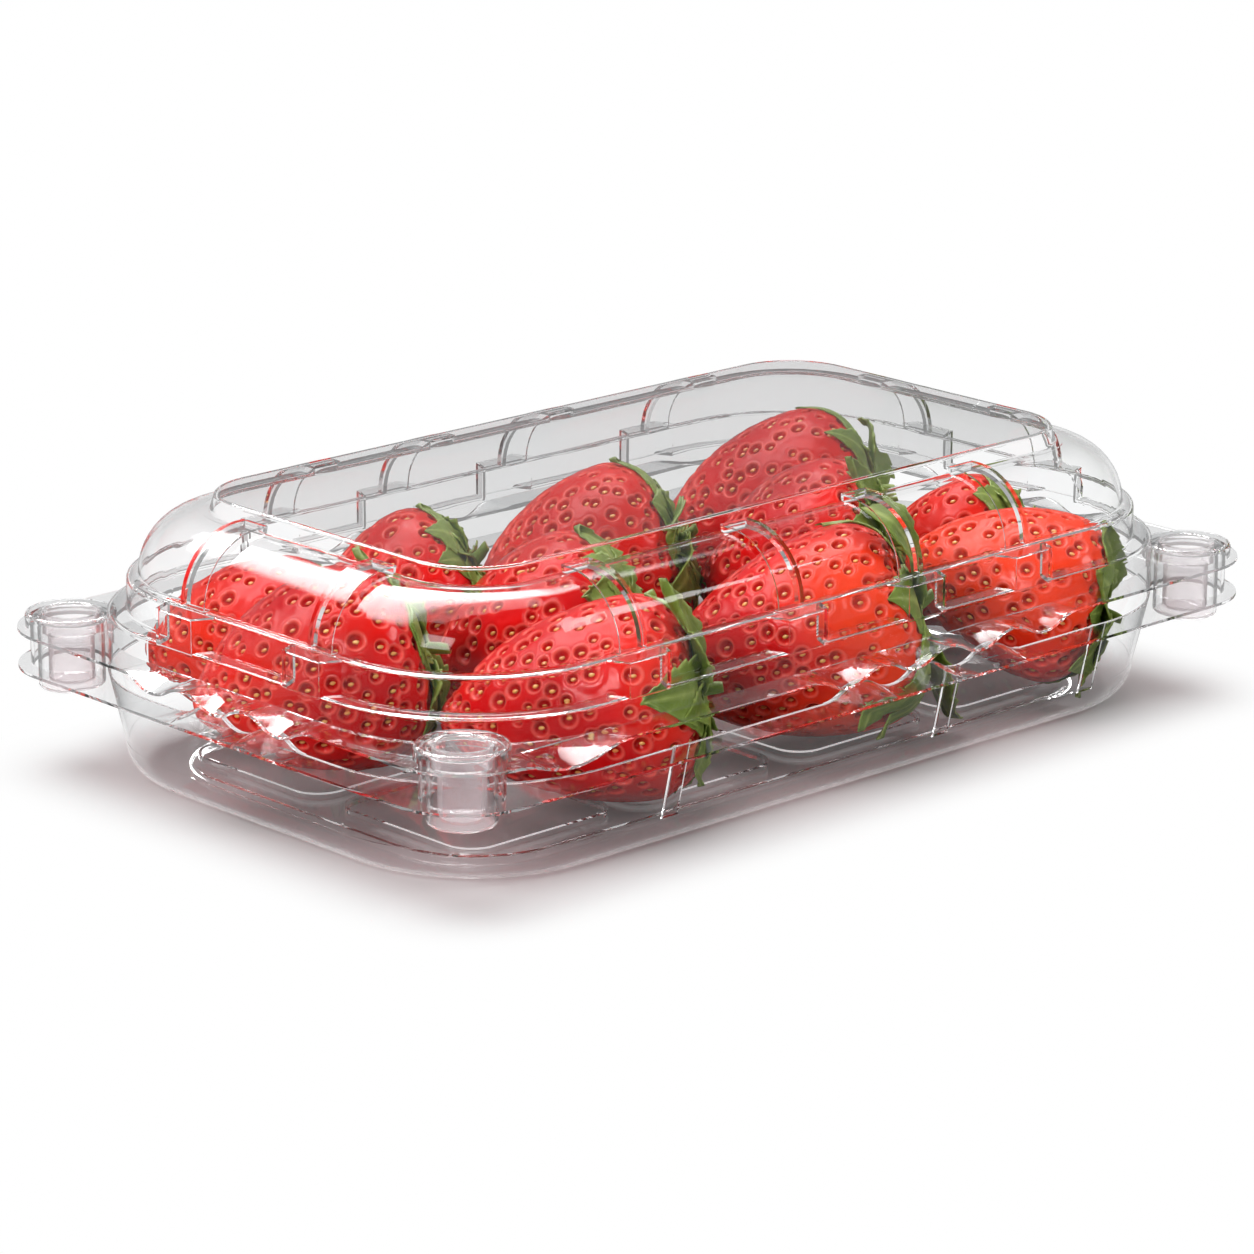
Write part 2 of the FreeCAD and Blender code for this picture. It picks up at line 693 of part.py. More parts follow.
add_snaps(
    lid, "Stud", "lid_level - gauge", ("snap_radius - gauge / 2", "snap_top - gauge"),
    [("snap_radius - gauge", "lid_level"),
     ("snap_radius - gauge", "snap_top - gauge"),
     ("stud_radius", "snap_top - gauge"),
     ("stud_radius", "stud_shelf"),
     ("stud_radius - stud_step", "stud_shelf"),
     ("stud_radius - stud_step", "stud_low"),
     ("0", "stud_low"),
     ("0", "stud_low + gauge"),
     ("stud_radius - stud_step - gauge", "stud_low + gauge"),
     ("stud_radius - stud_step - gauge", "stud_shelf + gauge"),
     ("stud_radius - gauge", "stud_shelf + gauge"),
     ("stud_radius - gauge", "snap_top"),
     ("snap_radius", "snap_top"),
     ("snap_radius", "lid_level")])


# Fruit ------------------------------------------------------------------------------------
def fruit_place(fruit):
    """Where a fruit's tip is and how its axis leans, from its middle, heading and tilt."""
    half, heading, tilt = (f"fruit_{fruit}_{word}" for word in ("length / 2", "heading", "tilt"))
    base = "; ".join((f"fruit_{fruit}_x - {half} * cos({heading}) * cos({tilt})",
                      f"fruit_{fruit}_y - {half} * sin({heading}) * cos({tilt})",
                      f"fruit_{fruit}_z - {half} * sin({tilt})"))
    turn = f"create(<<rotation>>; {heading}; 90 - {tilt}; 0)"
    return f"create(<<placement>>; create(<<vector>>; {base}); {turn})"


def axis_in(sketch):
    """The upright line that a fruit's sections turn about."""
    axis = sketch.addGeometry([Part.LineSegment(Vector(0, 0, 0), Vector(0, 1, 0))], True)[0]
    sketch.addConstraint(Sketcher.Constraint("Coincident", axis, 1, -1, 1))
    sketch.addConstraint(Sketcher.Constraint("Vertical", axis))
    sketch.addConstraint(Sketcher.Constraint("Distance", axis, 1))


def add_pits(body, number, crown, reach, turned):
    """Rings of shallow pits down a fruit's flank, pressed by balls whose centres lie on an arc.

    crown is the flank centre's place from the axis and its level, reach the arc's radius and
    turned how far the arc goes from one ring to the next, as a sine.
    """
    balls = []
    for ring in range(3):
        drop, turn = f"asin({ring} * {turned})", ring % 2 * 180 / PITS
        out = f"({crown[0]} + {reach} * cos({drop}))"
        spot = f"{out} * cos({turn}); {out} * sin({turn}); {crown[1]} - {reach} * sin({drop})"
        ball = body.newObject("PartDesign::SubtractiveSphere", f"Fruit{number}Pit{ring + 1}")
        ball.AttachmentSupport = (origin_part(body, "XY_Plane"), "")
        ball.MapMode = "ObjectXY"
        bind(ball, "AttachmentOffset.Base", f"create(<<vector>>; {spot})")
        bind(ball, "Radius", "pit_radius")
        balls.append(ball)
    pits = body.newObject("PartDesign::PolarPattern", f"Fruit{number}Pits")
    pits.Originals = balls
    pits.Axis = (origin_part(body, "Z_Axis"), [""])
    pits.Angle = 360
    pits.Occurrences = PITS
    body.Tip = pits


def add_strawberry(number, fruit):
    """A round-shouldered cone with pits: tip, flank and shoulder are arcs that meet smoothly."""
    body = doc.addObject("PartDesign::Body", f"strawberry_{number}")
    long, wide = f"fruit_{fruit}_length", f"fruit_{fruit}_radius"
    tip, shoulder = f"({wide} * tip_share)", f"({wide} * shoulder_share)"
    rise = f"({long} - {shoulder} - {tip})"
    flank = f"(({wide} ^ 2 + {rise} ^ 2 - {tip} ^ 2) / (2 * ({wide} - {tip})))"
    share = f"{tip} / ({flank} - {tip})"
    section = new_sketch(body, f"Fruit{number}Section", "XZ_Plane")
    trace(section, [("0", "0"),
                    (f"({flank} - {wide}) * {share}", f"{tip} - {rise} * {share}", tip, 1),
                    (wide, f"{long} - {shoulder}", flank, 1),
                    (f"{wide} - {shoulder}", long, shoulder, 1),
                    ("0", long)])
    axis_in(section)
    add_feature(body, "Revolution", f"Fruit{number}", section)
    add_pits(body, number, (f"({wide} - {flank})", f"({long} - {shoulder})"),
             f"({flank} + pit_radius - pit_depth)", f"pit_step * {rise} / {flank}")
    bind(body, "Placement", fruit_place(fruit))
    return body


def add_calyx(number, fruit):
    """A star of sepals laid over a fruit's shoulder, with a stub of stem."""
    body = doc.addObject("PartDesign::Body", f"calyx_{number}")
    wide = f"fruit_{fruit}_radius"
    shoulder, seat = f"({wide} * shoulder_share)", f"(fruit_{fruit}_length + leaf_clearance)"
    flat = f"({wide} - {shoulder})"
    lower, upper = f"({shoulder} + leaf_clearance)", f"({shoulder} + leaf_clearance + leaf_gauge)"
    centre = f"({seat} - {lower})"
    section = new_sketch(body, f"Calyx{number}Section", "XZ_Plane")
    bend = "leaf_bend"
    trace(section, [("0", seat),
                    (flat, seat),
                    (f"{flat} + {lower} * sin({bend})", f"{centre} + {lower} * cos({bend})",
                     lower, -1),
                    (f"{flat} + {upper} * sin({bend})", f"{centre} + {upper} * cos({bend})"),
                    (flat, f"{seat} + leaf_gauge", upper, 1),
                    ("stem_radius", f"{seat} + leaf_gauge"),
                    ("stem_radius", f"{seat} + stem_length"),
                    ("0", f"{seat} + stem_length")])
    axis_in(section)
    add_feature(body, "Revolution", f"Calyx{number}Leaf", section)
    notch = new_sketch(body, f"Calyx{number}Notch", level=f"{seat} + 2 * leaf_gauge")
    reach, side = f"({wide} * 1.1)", f"(170 / {SEPALS})"
    trace(notch, [(f"{wide} * calyx_hub", "0", wide, -1),
                  (f"{reach} * cos({side})", f"-{reach} * sin({side})", wide, -1),
                  (f"{reach} * cos({side})", f"{reach} * sin({side})")])
    cut = add_feature(body, "Pocket", f"Calyx{number}Cut", notch, f"{lower} + 3 * leaf_gauge")
    star = body.newObject("PartDesign::PolarPattern", f"Calyx{number}Star")
    star.Originals = [cut]
    star.Axis = (origin_part(body, "Z_Axis"), [""])
    star.Angle = 360
    star.Occurrences = SEPALS
    body.Tip = star
    bind(body, "Placement", fruit_place(fruit))
    return body


for number, fruit in enumerate(FRUIT, start=1):
    add_strawberry(number, fruit)
    add_calyx(number, fruit)

doc.recompute()
broken = [item.Name for item in doc.Objects if {"Invalid", "Error"} & set(item.State)]
bodies = [item for item in doc.Objects if item.TypeId == "PartDesign::Body"]
broken += [item.Name for item in bodies if item.Shape.isNull() or not item.Shape.isValid()]
broken += [item.Name for item in bodies if len(item.Shape.Solids) != 1]
if broken:
    print("not built:", broken)
    sys.exit(1)
os.makedirs("parts", exist_ok=True)
for item in bodies:
    item.Shape.exportStep(f"parts/{item.Label}.step")
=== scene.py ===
"""Looks for a clear snap-lid punnet of strawberries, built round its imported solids."""
import logging
import math
from dataclasses import dataclass, field
from enum import Enum
from typing import Any, Callable, Sequence

import bpy
import numpy as np
from mathutils import Matrix, Vector


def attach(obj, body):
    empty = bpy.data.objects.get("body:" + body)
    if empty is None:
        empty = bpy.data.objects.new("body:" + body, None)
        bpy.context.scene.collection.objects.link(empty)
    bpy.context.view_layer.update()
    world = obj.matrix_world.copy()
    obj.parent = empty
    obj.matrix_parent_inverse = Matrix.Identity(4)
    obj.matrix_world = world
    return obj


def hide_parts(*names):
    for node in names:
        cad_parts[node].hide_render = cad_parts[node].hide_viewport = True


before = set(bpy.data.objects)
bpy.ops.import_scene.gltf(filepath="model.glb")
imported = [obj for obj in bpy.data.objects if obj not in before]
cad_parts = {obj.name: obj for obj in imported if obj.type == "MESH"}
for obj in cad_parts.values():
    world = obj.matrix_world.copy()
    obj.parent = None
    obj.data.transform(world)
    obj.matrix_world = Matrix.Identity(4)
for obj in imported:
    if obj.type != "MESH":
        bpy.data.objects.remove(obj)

logging.basicConfig(level=logging.INFO, format="%(message)s")
log = logging.getLogger("punnet")

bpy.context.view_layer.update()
MM = 0.001
GOLDEN_ANGLE = math.pi * (3.0 - math.sqrt(5.0))
SCENE_UP = np.array([0.0, 0.0, 1.0])

Object, Material, World = bpy.types.Object, bpy.types.Material, bpy.types.World
Rows, Random = np.ndarray, np.random.Generator
Colour = Point = tuple[float, float, float]
Span, Levels = tuple[float, float], tuple[float, ...]
WHITE: Colour = (1.0, 1.0, 1.0)
FALLING: Span = (1.0, 0.0)
# Thresholds for the light path's counts: one or more, and four or more.
ANY, SEVERAL = 0.5, 3.5


class Operation(Enum):
    """Math node operations that the wires below add."""

    ADD = "ADD"
    SUBTRACT = "SUBTRACT"
    MULTIPLY = "MULTIPLY"
    POWER = "POWER"
    MAXIMUM = "MAXIMUM"
    ABSOLUTE = "ABSOLUTE"
    LESS_THAN = "LESS_THAN"
    GREATER_THAN = "GREATER_THAN"


class Ray(Enum):
    """What the light path tells about the ray that meets a surface."""

    CAMERA = "Is Camera Ray"
    SHADOW = "Is Shadow Ray"
    SPREAD = "Is Diffuse Ray"
    GLOSSY = "Is Glossy Ray"
    THROUGH = "Is Transmission Ray"
    MEETINGS = "Ray Depth"
    SPREADINGS = "Diffuse Depth"
    REFLECTIONS = "Glossy Depth"
    CROSSINGS = "Transmission Depth"


def maths(operation: Operation, swapped: bool = False) -> Callable[..., "Wire"]:
    """Make the method that adds one kind of Math node behind a wire.

    Args:
        operation: What the node works out.
        swapped: Whether the other value comes first.

    Returns:
        The method, which takes the other value or wire, if any.
    """
    return lambda wire, other=None: wire.paint.node(
        "Math", [other, wire] if swapped else [wire, other], {"operation": operation.value})


class Wire:
    """One output socket, with the operators that add Math nodes behind it."""

    __add__ = __radd__ = maths(Operation.ADD)
    __sub__ = maths(Operation.SUBTRACT)
    __rsub__ = maths(Operation.SUBTRACT, swapped=True)
    __mul__ = __rmul__ = maths(Operation.MULTIPLY)
    __pow__ = maths(Operation.POWER)
    larger = maths(Operation.MAXIMUM)
    under = maths(Operation.LESS_THAN)
    over = maths(Operation.GREATER_THAN)
    unsigned = maths(Operation.ABSOLUTE)

    def __init__(self, paint: "Paint", socket: bpy.types.NodeSocket) -> None:
        """Keep the socket and what it belongs to.

        Args:
            paint: The material or world being built.
            socket: The output socket.
        """
        self.paint, self.socket = paint, socket

    def lift(self, base: float, gain: float) -> "Wire":
        """Turn a value into a level.

        Args:
            base: The level at 0.
            gain: What a value of 1 adds.

        Returns:
            The level.
        """
        return base + self * gain


def diagonal(sides: Sequence[Wire]) -> Wire:
    """Join two distances at right angles.

    Args:
        sides: The two distances.

    Returns:
        The straight distance.
    """
    return (sides[0] ** 2 + sides[1] ** 2) ** 0.5


class Paint:
    """A material or world under construction."""

    def __init__(self, owner: str | World) -> None:
        """Empty the node tree and give it its output.

        Args:
            owner: The new material's name, or the new world.
        """
        world = isinstance(owner, World)
        self.owner = owner if world else bpy.data.materials.new(owner)
        self.owner.use_nodes = True
        self.tree = self.owner.node_tree
        self.tree.nodes.clear()
        self.end = self.tree.nodes.new("ShaderNodeOutput" + ("World" if world else "Material"))

    def node(self, kind: str, inputs: dict[Any, Any] | Sequence[Any] = (),
             settings: dict[str, Any] | None = None, out: Any = 0) -> Wire:
        """Add one node of any kind.

        Args:
            kind: The node's type, without its first word, ShaderNode.
            inputs: Values, colours or wires, by socket name or number.
            settings: Properties, set first.
            out: The output to return, by name or number.

        Returns:
            The chosen output.
        """
        made = self.tree.nodes.new("ShaderNode" + kind)
        for key, value in (settings or {}).items():
            setattr(made, key, value)
        pairs = inputs.items() if isinstance(inputs, dict) else enumerate(inputs)
        for key, value in pairs:
            socket = made.inputs[key]
            if isinstance(value, Wire):
                self.tree.links.new(value.socket, socket)
            elif value is not None:
                socket.default_value = (*value, 1.0) if socket.type == "RGBA" else value
        return Wire(self, made.outputs[out])

    def mix_colour(self, share: Any, first: Any, second: Any) -> Wire:
        """Blend two colours.

        Args:
            share: The second colour's share, from 0 to 1.
            first: The first colour.
            second: The second colour.

        Returns:
            The blend.
        """
        return self.node("Mix", {0: share, 6: first, 7: second}, {"data_type": "RGBA"}, 2)

    def mix_shader(self, share: Wire, first: Wire, second: Wire) -> Wire:
        """Blend two shaders.

        Args:
            share: The second shader's share, from 0 to 1.
            first: The first shader.
            second: The second shader.

        Returns:
            The blend.
        """
        return self.node("MixShader", [share, first, second])

    def attribute(self, name: str) -> Wire:
        """Read a value stored on the mesh's points.

        Args:
            name: The attribute's name.

        Returns:
            The value.
        """
        return self.node("Attribute", settings={"attribute_name": name}, out="Fac")

    def ease(self, value: Wire, span: Span, ends: Span = (0.0, 1.0)) -> Wire:
        """Step softly between two levels.

        Args:
            value: What is looked at.
            span: Where the step starts and ends.
            ends: The levels before and after it.

        Returns:
            The level.
        """
        return self.node("MapRange", {"Value": value, "From Min": span[0], "From Max": span[1],
                                      "To Min": ends[0], "To Max": ends[1]},
                         {"interpolation_type": "SMOOTHSTEP"})

    def contrast(self, value: Wire, span: Span) -> Wire:
        """Stretch a value so that it runs from 0 to 1 over a span.

        Args:
            value: What is stretched.
            span: Where 0 and 1 are put.

        Returns:
            The stretched value.
        """
        made = self.node("ValToRGB", [value])
        for element, place in zip(made.socket.node.color_ramp.elements, span):
            element.position = place
        return made

    def place(self, kind: str = "Object", axes: str = "XY") -> list[Wire]:
        """Read the point's place along some axes.

        Args:
            kind: The coordinates that are read.
            axes: The axes' letters.

        Returns:
            One value an axis.
        """
        point = self.node("TexCoord", out=kind)
        return [self.node("SeparateXYZ", [point], out=axis) for axis in axes]

    def noise(self, scale: float, detail: float = 2.0, distortion: float = 0.0) -> Wire:
        """Add noise that is fixed to the object.

        Args:
            scale: How many bumps fit in a metre.
            detail: How many finer layers it has.
            distortion: How much it is twisted.

        Returns:
            The noise, from 0 to 1.
        """
        point = self.node("TexCoord", out="Object")
        return self.node("TexNoise", {
            "Vector": point, "Scale": scale, "Detail": detail, "Distortion": distortion})

    def bump(self, height: Wire, strength: float, distance: float,
             under: Wire | None = None) -> Wire:
        """Turn a height into relief.

        Args:
            height: The height, from 0 to 1.
            strength: How much of the relief shows.
            distance: What a height of 1 stands for, in millimetres.
            under: Relief that this one is laid on.

        Returns:
            The bent normal.
        """
        return self.node("Bump", {
            "Strength": strength, "Distance": distance * MM, "Height": height, "Normal": under})

    def ray(self, kind: Ray) -> Wire:
        """Read one thing that the light path tells.

        Args:
            kind: What is read.

        Returns:
            1 or 0 for a kind of ray, or a count.
        """
        return self.node("LightPath", out=kind.value)

    def watched(self) -> Wire:
        """Tell the rays that a viewer follows: direct, mirrored or through clear sheet.

        Returns:
            1 for such a ray, else 0.
        """
        return self.ray(Ray.GLOSSY).larger(self.ray(Ray.THROUGH)).larger(self.ray(Ray.CAMERA))

    def mirrored(self) -> Wire:
        """Tell the rays that come straight off a mirroring surface.

        Returns:
            1 for such a ray, else 0.
        """
        return self.ray(Ray.GLOSSY) * (1.0 - self.ray(Ray.THROUGH))

    def trapped(self) -> Wire:
        """Tell the rays that were mirrored inside a sheet and then crossed several faces.

        Returns:
            1 for such a ray, else 0.
        """
        return self.ray(Ray.REFLECTIONS).over(ANY) * self.ray(Ray.CROSSINGS).over(SEVERAL)

    def finish(self, surface: Wire) -> Material | World:
        """Send a shader to the output.

        Args:
            surface: The shader.

        Returns:
            The finished material or world.
        """
        self.tree.links.new(surface.socket, self.end.inputs["Surface"])
        return self.owner


@dataclass(frozen=True)
class ClearSheet:
    """Clear thermoformed sheet: it bends light at its edges, and lamps shine through it.

    It is painted a grey shade where seen edge-on, and turns milky round the snaps, where
    stretched.
    Light that has met more faces than `guided` goes straight on, so no path ends black.
    """

    tint: Colour = (0.982, 0.985, 0.987)
    # edge: painted grey shade on the sheet where it is seen edge-on, growing by the power below.
    edge: Colour = (0.80, 0.81, 0.82)
    edge_shade_power: float = 5.0
    # shade: filter for light let straight through; darker than the sheet's tint to deepen the
    # shade under the tray, its reddish cast is painted bounce light from the fruit.
    shade: Colour = (0.80, 0.755, 0.76)
    index: float = 1.2
    shine: float = 0.25
    guided: float = 14.5
    ripple: Span = (42.0, 1.5)
    ripple_bump: Span = (0.10, 1.2)
    snap: Span = (83.54, 48.04)
    snap_reach: Span = (4.05, 5.4)
    milk: float = 0.14
    milk_tint: Colour = (0.97, 0.97, 0.98)

    def material(self, name: str) -> Material:
        """Build the finish.

        Args:
            name: The material's name.

        Returns:
            The material.
        """
        paint = Paint(name)
        bump = paint.bump(paint.noise(*self.ripple), *self.ripple_bump)
        facing = paint.node("LayerWeight", {"Blend": 0.5, "Normal": bump}, out="Facing")
        sheet = paint.node("BsdfPrincipled", {
            # Painted grey shade where the sheet is seen edge-on.
            "Base Color": paint.mix_colour(facing ** self.edge_shade_power, self.tint, self.edge),
            "Roughness": 0.0, "IOR": self.index, "Transmission Weight": 1.0,
            "Specular IOR Level": self.shine, "Normal": bump})
        milky = paint.node("AddShader", [
            paint.node(kind, {"Color": self.milk_tint})
            for kind in ("BsdfDiffuse", "BsdfTranslucent")])
        gone, shaded = (paint.node("BsdfTransparent", {"Color": colour})
                        for colour in (WHITE, self.shade))
        sheet = paint.mix_shader(self._snaps(paint), sheet, milky)
        sheet = paint.mix_shader(paint.ray(Ray.MEETINGS).over(self.guided), sheet, gone)
        # Shadow and spread rays pass straight through the darkened, reddish shade filter.
        straight = paint.ray(Ray.SHADOW).larger(paint.ray(Ray.SPREAD))
        return paint.finish(paint.mix_shader(straight, sheet, shaded))

    def _snaps(self, paint: Paint) -> Wire:
        """Work out how milky the sheet is by its distance from the nearest snap's middle.

        Args:
            paint: The material being built.

        Returns:
            The share of milk.
        """
        away = [side.unsigned() - middle * MM for side, middle in zip(paint.place(), self.snap)]
        inner, outer = self.snap_reach
        return paint.ease(diagonal(away), (inner * MM, outer * MM), (self.milk, 0.0))


@dataclass(frozen=True)
class FruitSkin:
    """Glossy ripe skin: deep red, orange in patches, paler at the stem, painted highlight on pit
    rims.

    The spans of the pits and rims are shares of a pit's radius, from its seed outwards. The
    pairs of shares and roughness are a base and what noise adds to it.
    """

    ripe: Colour = (0.51, 0.001, 0.003)
    bright: Colour = (0.76, 0.004, 0.004)
    orange: Colour = (0.94, 0.052, 0.008)
    shoulder: Colour = (0.86, 0.19, 0.07)
    # rim: painted highlight, a pale pink laid on the pits' rims.
    rim: Colour = (0.96, 0.19, 0.14)
    # pit: painted shade, a darker red laid inside the pits.
    pit: Colour = (0.36, 0.004, 0.004)
    patch_scale: float = 48.0
    patch_span: Span = (0.32, 0.62)
    warm_noise: Point = (21.0, 1.0, 0.4)
    warm_span: Span = (0.44, 0.62)
    grain_scale: float = 1100.0
    grain_bump: Span = (0.12, 0.3)
    pit_span: Span = (0.20, 0.84)
    rim_rise: Span = (0.56, 0.80)
    rim_fall: Span = (0.86, 1.12)
    pale_share: Span = (0.45, 0.6)
    # The rim colour's share, base and noise: a painted highlight.
    rim_highlight_share: Span = (0.16, 0.5)
    # The pit colour's share: painted shade in the pits.
    pit_shade_share: float = 0.80
    rim_relief: float = 0.5
    pit_bump: Span = (0.55, 0.7)
    roughness: Span = (0.13, 0.09)
    gloss: float = 0.13
    coat: Span = (0.03, 0.06)
    glow: float = 0.10
    glow_reach: Point = (0.003, 0.0008, 0.0005)

    def material(self, name: str) -> Material:
        """Build the finish.

        Args:
            name: The material's name.

        Returns:
            The material.
        """
        paint = Paint(name)
        patches, grain = paint.noise(self.patch_scale), paint.noise(self.grain_scale)
        gap = paint.attribute("gap")
        # The pit mask carries painted shade in the colour, and the hollow in the bump.
        pit = paint.ease(gap, self.pit_span, FALLING)
        # The rim mask carries a painted highlight in the colour, and real relief in the bump.
        rim = paint.ease(gap, self.rim_rise) * paint.ease(gap, self.rim_fall, FALLING)
        warm = paint.contrast(paint.noise(*self.warm_noise), self.warm_span)
        colour = paint.mix_colour(paint.contrast(patches, self.patch_span), self.ripe, self.bright)
        for share, over in ((warm * paint.attribute("warm"), self.orange),
                            (paint.attribute("pale") * patches.lift(*self.pale_share),
                             self.shoulder),
                            # Painted highlight on the pits' rims.
                            (rim * patches.lift(*self.rim_highlight_share), self.rim),
                            # Painted shade inside the pits.
                            (pit * self.pit_shade_share, self.pit)):
            colour = paint.mix_colour(share, colour, over)
        rough = paint.bump(grain, *self.grain_bump)
        return paint.finish(paint.node("BsdfPrincipled", {
            "Base Color": colour, "Roughness": grain.lift(*self.roughness),
            "Normal": paint.bump(rim * self.rim_relief - pit, *self.pit_bump, rough),
            "Subsurface Weight": self.glow, "Subsurface Radius": self.glow_reach,
            "Subsurface Scale": 1.0, "Specular IOR Level": self.gloss,
            "Coat Weight": self.coat[0], "Coat Roughness": self.coat[1]}))


@dataclass(frozen=True)
class SeedCoat:
    """Small hard seeds, straw yellow to amber."""

    straw: Colour = (0.76, 0.46, 0.10)
    amber: Colour = (0.62, 0.20, 0.05)
    patch_scale: float = 260.0
    patch_span: Span = (0.4, 0.62)
    roughness: float = 0.32

    def material(self, name: str) -> Material:
        """Build the finish.

        Args:
            name: The material's name.

        Returns:
            The material.
        """
        paint = Paint(name)
        share = paint.contrast(paint.noise(self.patch_scale), self.patch_span)
        return paint.finish(paint.node("BsdfPrincipled", {
            "Base Color": paint.mix_colour(share, self.straw, self.amber),
            "Roughness": self.roughness}))


@dataclass(frozen=True)
class Leaf:
    """Sepals and stems: fresh green, paler at the edge and along the middle vein."""

    deep: Colour = (0.040, 0.088, 0.008)
    fresh: Colour = (0.20, 0.31, 0.032)
    vein: Colour = (0.33, 0.44, 0.11)
    vein_share: float = 0.6
    patch_noise: Span = (140.0, 4.0)
    fine_scale: float = 1400.0
    relief: Span = (0.35, 0.4)
    roughness: Span = (0.46, 0.15)
    gloss: float = 0.16
    glow: float = 0.08
    glow_reach: Point = (0.001, 0.002, 0.0005)

    def material(self, name: str) -> Material:
        """Build the finish.

        Args:
            name: The material's name.

        Returns:
            The material.
        """
        paint = Paint(name)
        patches, fine = paint.noise(*self.patch_noise), paint.noise(self.fine_scale)
        colour = paint.mix_colour(patches, self.deep, self.fresh)
        veined = paint.attribute("vein") * self.vein_share
        return paint.finish(paint.node("BsdfPrincipled", {
            "Base Color": paint.mix_colour(veined, colour, self.vein),
            "Roughness": fine.lift(*self.roughness),
            "Normal": paint.bump(fine + patches, *self.relief),
            "Specular IOR Level": self.gloss, "Subsurface Weight": self.glow,
            "Subsurface Radius": self.glow_reach}))


def model(primitive: Callable[..., Any], **settings: Any) -> Object:
    """Start a mesh from a primitive, selected alone.

    Args:
        primitive: The operator that adds it.
        settings: What the operator is told.

    Returns:
        The new object.
    """
    bpy.ops.object.select_all(action="DESELECT")
    primitive(**settings)
    return bpy.context.active_object


def activate(items: Sequence[Object]) -> None:
    """Select some objects alone and make the first one active.

    Args:
        items: The objects.
    """
    bpy.ops.object.select_all(action="DESELECT")
    for item in items:
        item.select_set(True)
    bpy.context.view_layer.objects.active = items[0]


def read_points(item: Object) -> Rows:
    """Read a mesh's points.

    Args:
        item: The mesh's object.

    Returns:
        Rows of x, y, z.
    """
    points = np.empty(len(item.data.vertices) * 3, np.float32)
    item.data.vertices.foreach_get("co", points)
    return points.reshape(-1, 3).astype(float)


def write_points(item: Object, points: Rows) -> None:
    """Move a mesh's points.

    Args:
        item: The mesh's object.
        points: Rows of x, y, z.
    """
    item.data.vertices.foreach_set("co", points.astype(np.float32).ravel())
    item.data.update()


def store(item: Object, name: str, values: Rows) -> None:
    """Keep one number on each of a mesh's points.

    Args:
        item: The mesh's object.
        name: The attribute's name.
        values: One number a point.
    """
    layer = item.data.attributes.new(name, "FLOAT", "POINT")
    layer.data.foreach_set("value", values.astype(np.float32))


def join(parts: Sequence[Object], name: str) -> Object:
    """Make one object of several.

    Args:
        parts: The objects; the first one's mesh takes the others in.
        name: The joined object's name.

    Returns:
        The joined object.
    """
    activate(parts)
    bpy.ops.object.join()
    parts[0].name = parts[0].data.name = name
    return parts[0]


def unit(rows: Rows) -> Rows:
    """Bring vectors to a length of 1.

    Args:
        rows: Rows of x, y, z.

    Returns:
        The same directions at a length of 1.
    """
    return rows / np.linalg.norm(rows, axis=1, keepdims=True)


@dataclass(frozen=True)
class FruitPlace:
    """Where one fruit lies, in millimetres and degrees: its stem end points at the heading.

    `warm` is how orange its patches are, and `leafy` how far its sepals reach.
    """

    number: int
    length: float
    radius: float
    middle: Point
    heading: float
    tilt: float
    warm: float = 0.25
    leafy: float = 1.0

    def axes(self) -> Rows:
        """Work out the fruit's own axes.

        Returns:
            Its x, y and z (towards the stem) as rows.
        """
        heading, tilt = math.radians(self.heading), math.radians(self.tilt)
        along = np.array([math.cos(heading) * math.cos(tilt),
                          math.sin(heading) * math.cos(tilt), math.sin(tilt)])
        across = np.cross(SCENE_UP, along)
        across /= np.linalg.norm(across)
        return np.array([across, np.cross(along, across), along])

    def to_frame(self, points: Rows) -> Rows:
        """Take points in millimetres, measured from the fruit's tip, into the frame.

        Args:
            points: Rows of x, y, z in the fruit's axes.

        Returns:
            Rows of x, y, z in the frame, in metres.
        """
        shifted = points - SCENE_UP * self.length / 2
        return (shifted @ self.axes() + np.array(self.middle)) * MM


# Every fruit's number, length, radius, middle, heading and tilt.
FRUIT = [
    FruitPlace(1, 41.0, 16.6, (-42.3, -27.1, 18.5), -43.0, 8.0, warm=0.35, leafy=1.15),
    FruitPlace(2, 37.5, 17.0, (-68.7, 5.6, 21.3), -38.0, 14.0, warm=0.3),
    FruitPlace(3, 33.0, 14.8, (-56.3, 37.0, 17.7), -50.0, 5.0, warm=0.45),
    FruitPlace(4, 32.0, 14.6, (-24.4, 37.1, 16.6), -40.0, 30.0),
    FruitPlace(5, 36.0, 16.6, (-21.8, 3.7, 17.3), -48.0, 25.0),
    FruitPlace(6, 37.0, 17.4, (9.7, 27.1, 18.2), -43.0, 20.0),
    FruitPlace(7, 43.0, 17.6, (7.8, -26.2, 18.5), -35.0, 14.0, warm=1.0, leafy=1.45),
    FruitPlace(8, 35.0, 16.4, (36.4, 0.4, 20.8), -60.0, 20.0),
    FruitPlace(9, 39.0, 17.6, (60.5, 31.2, 18.7), -43.0, 15.0),
    FruitPlace(10, 34.0, 14.8, (56.1, -30.3, 20.6), -50.0, -15.0, warm=0.95, leafy=1.15),
    FruitPlace(11, 31.0, 13.6, (69.9, -3.3, 16.0), -60.0, 30.0),
]


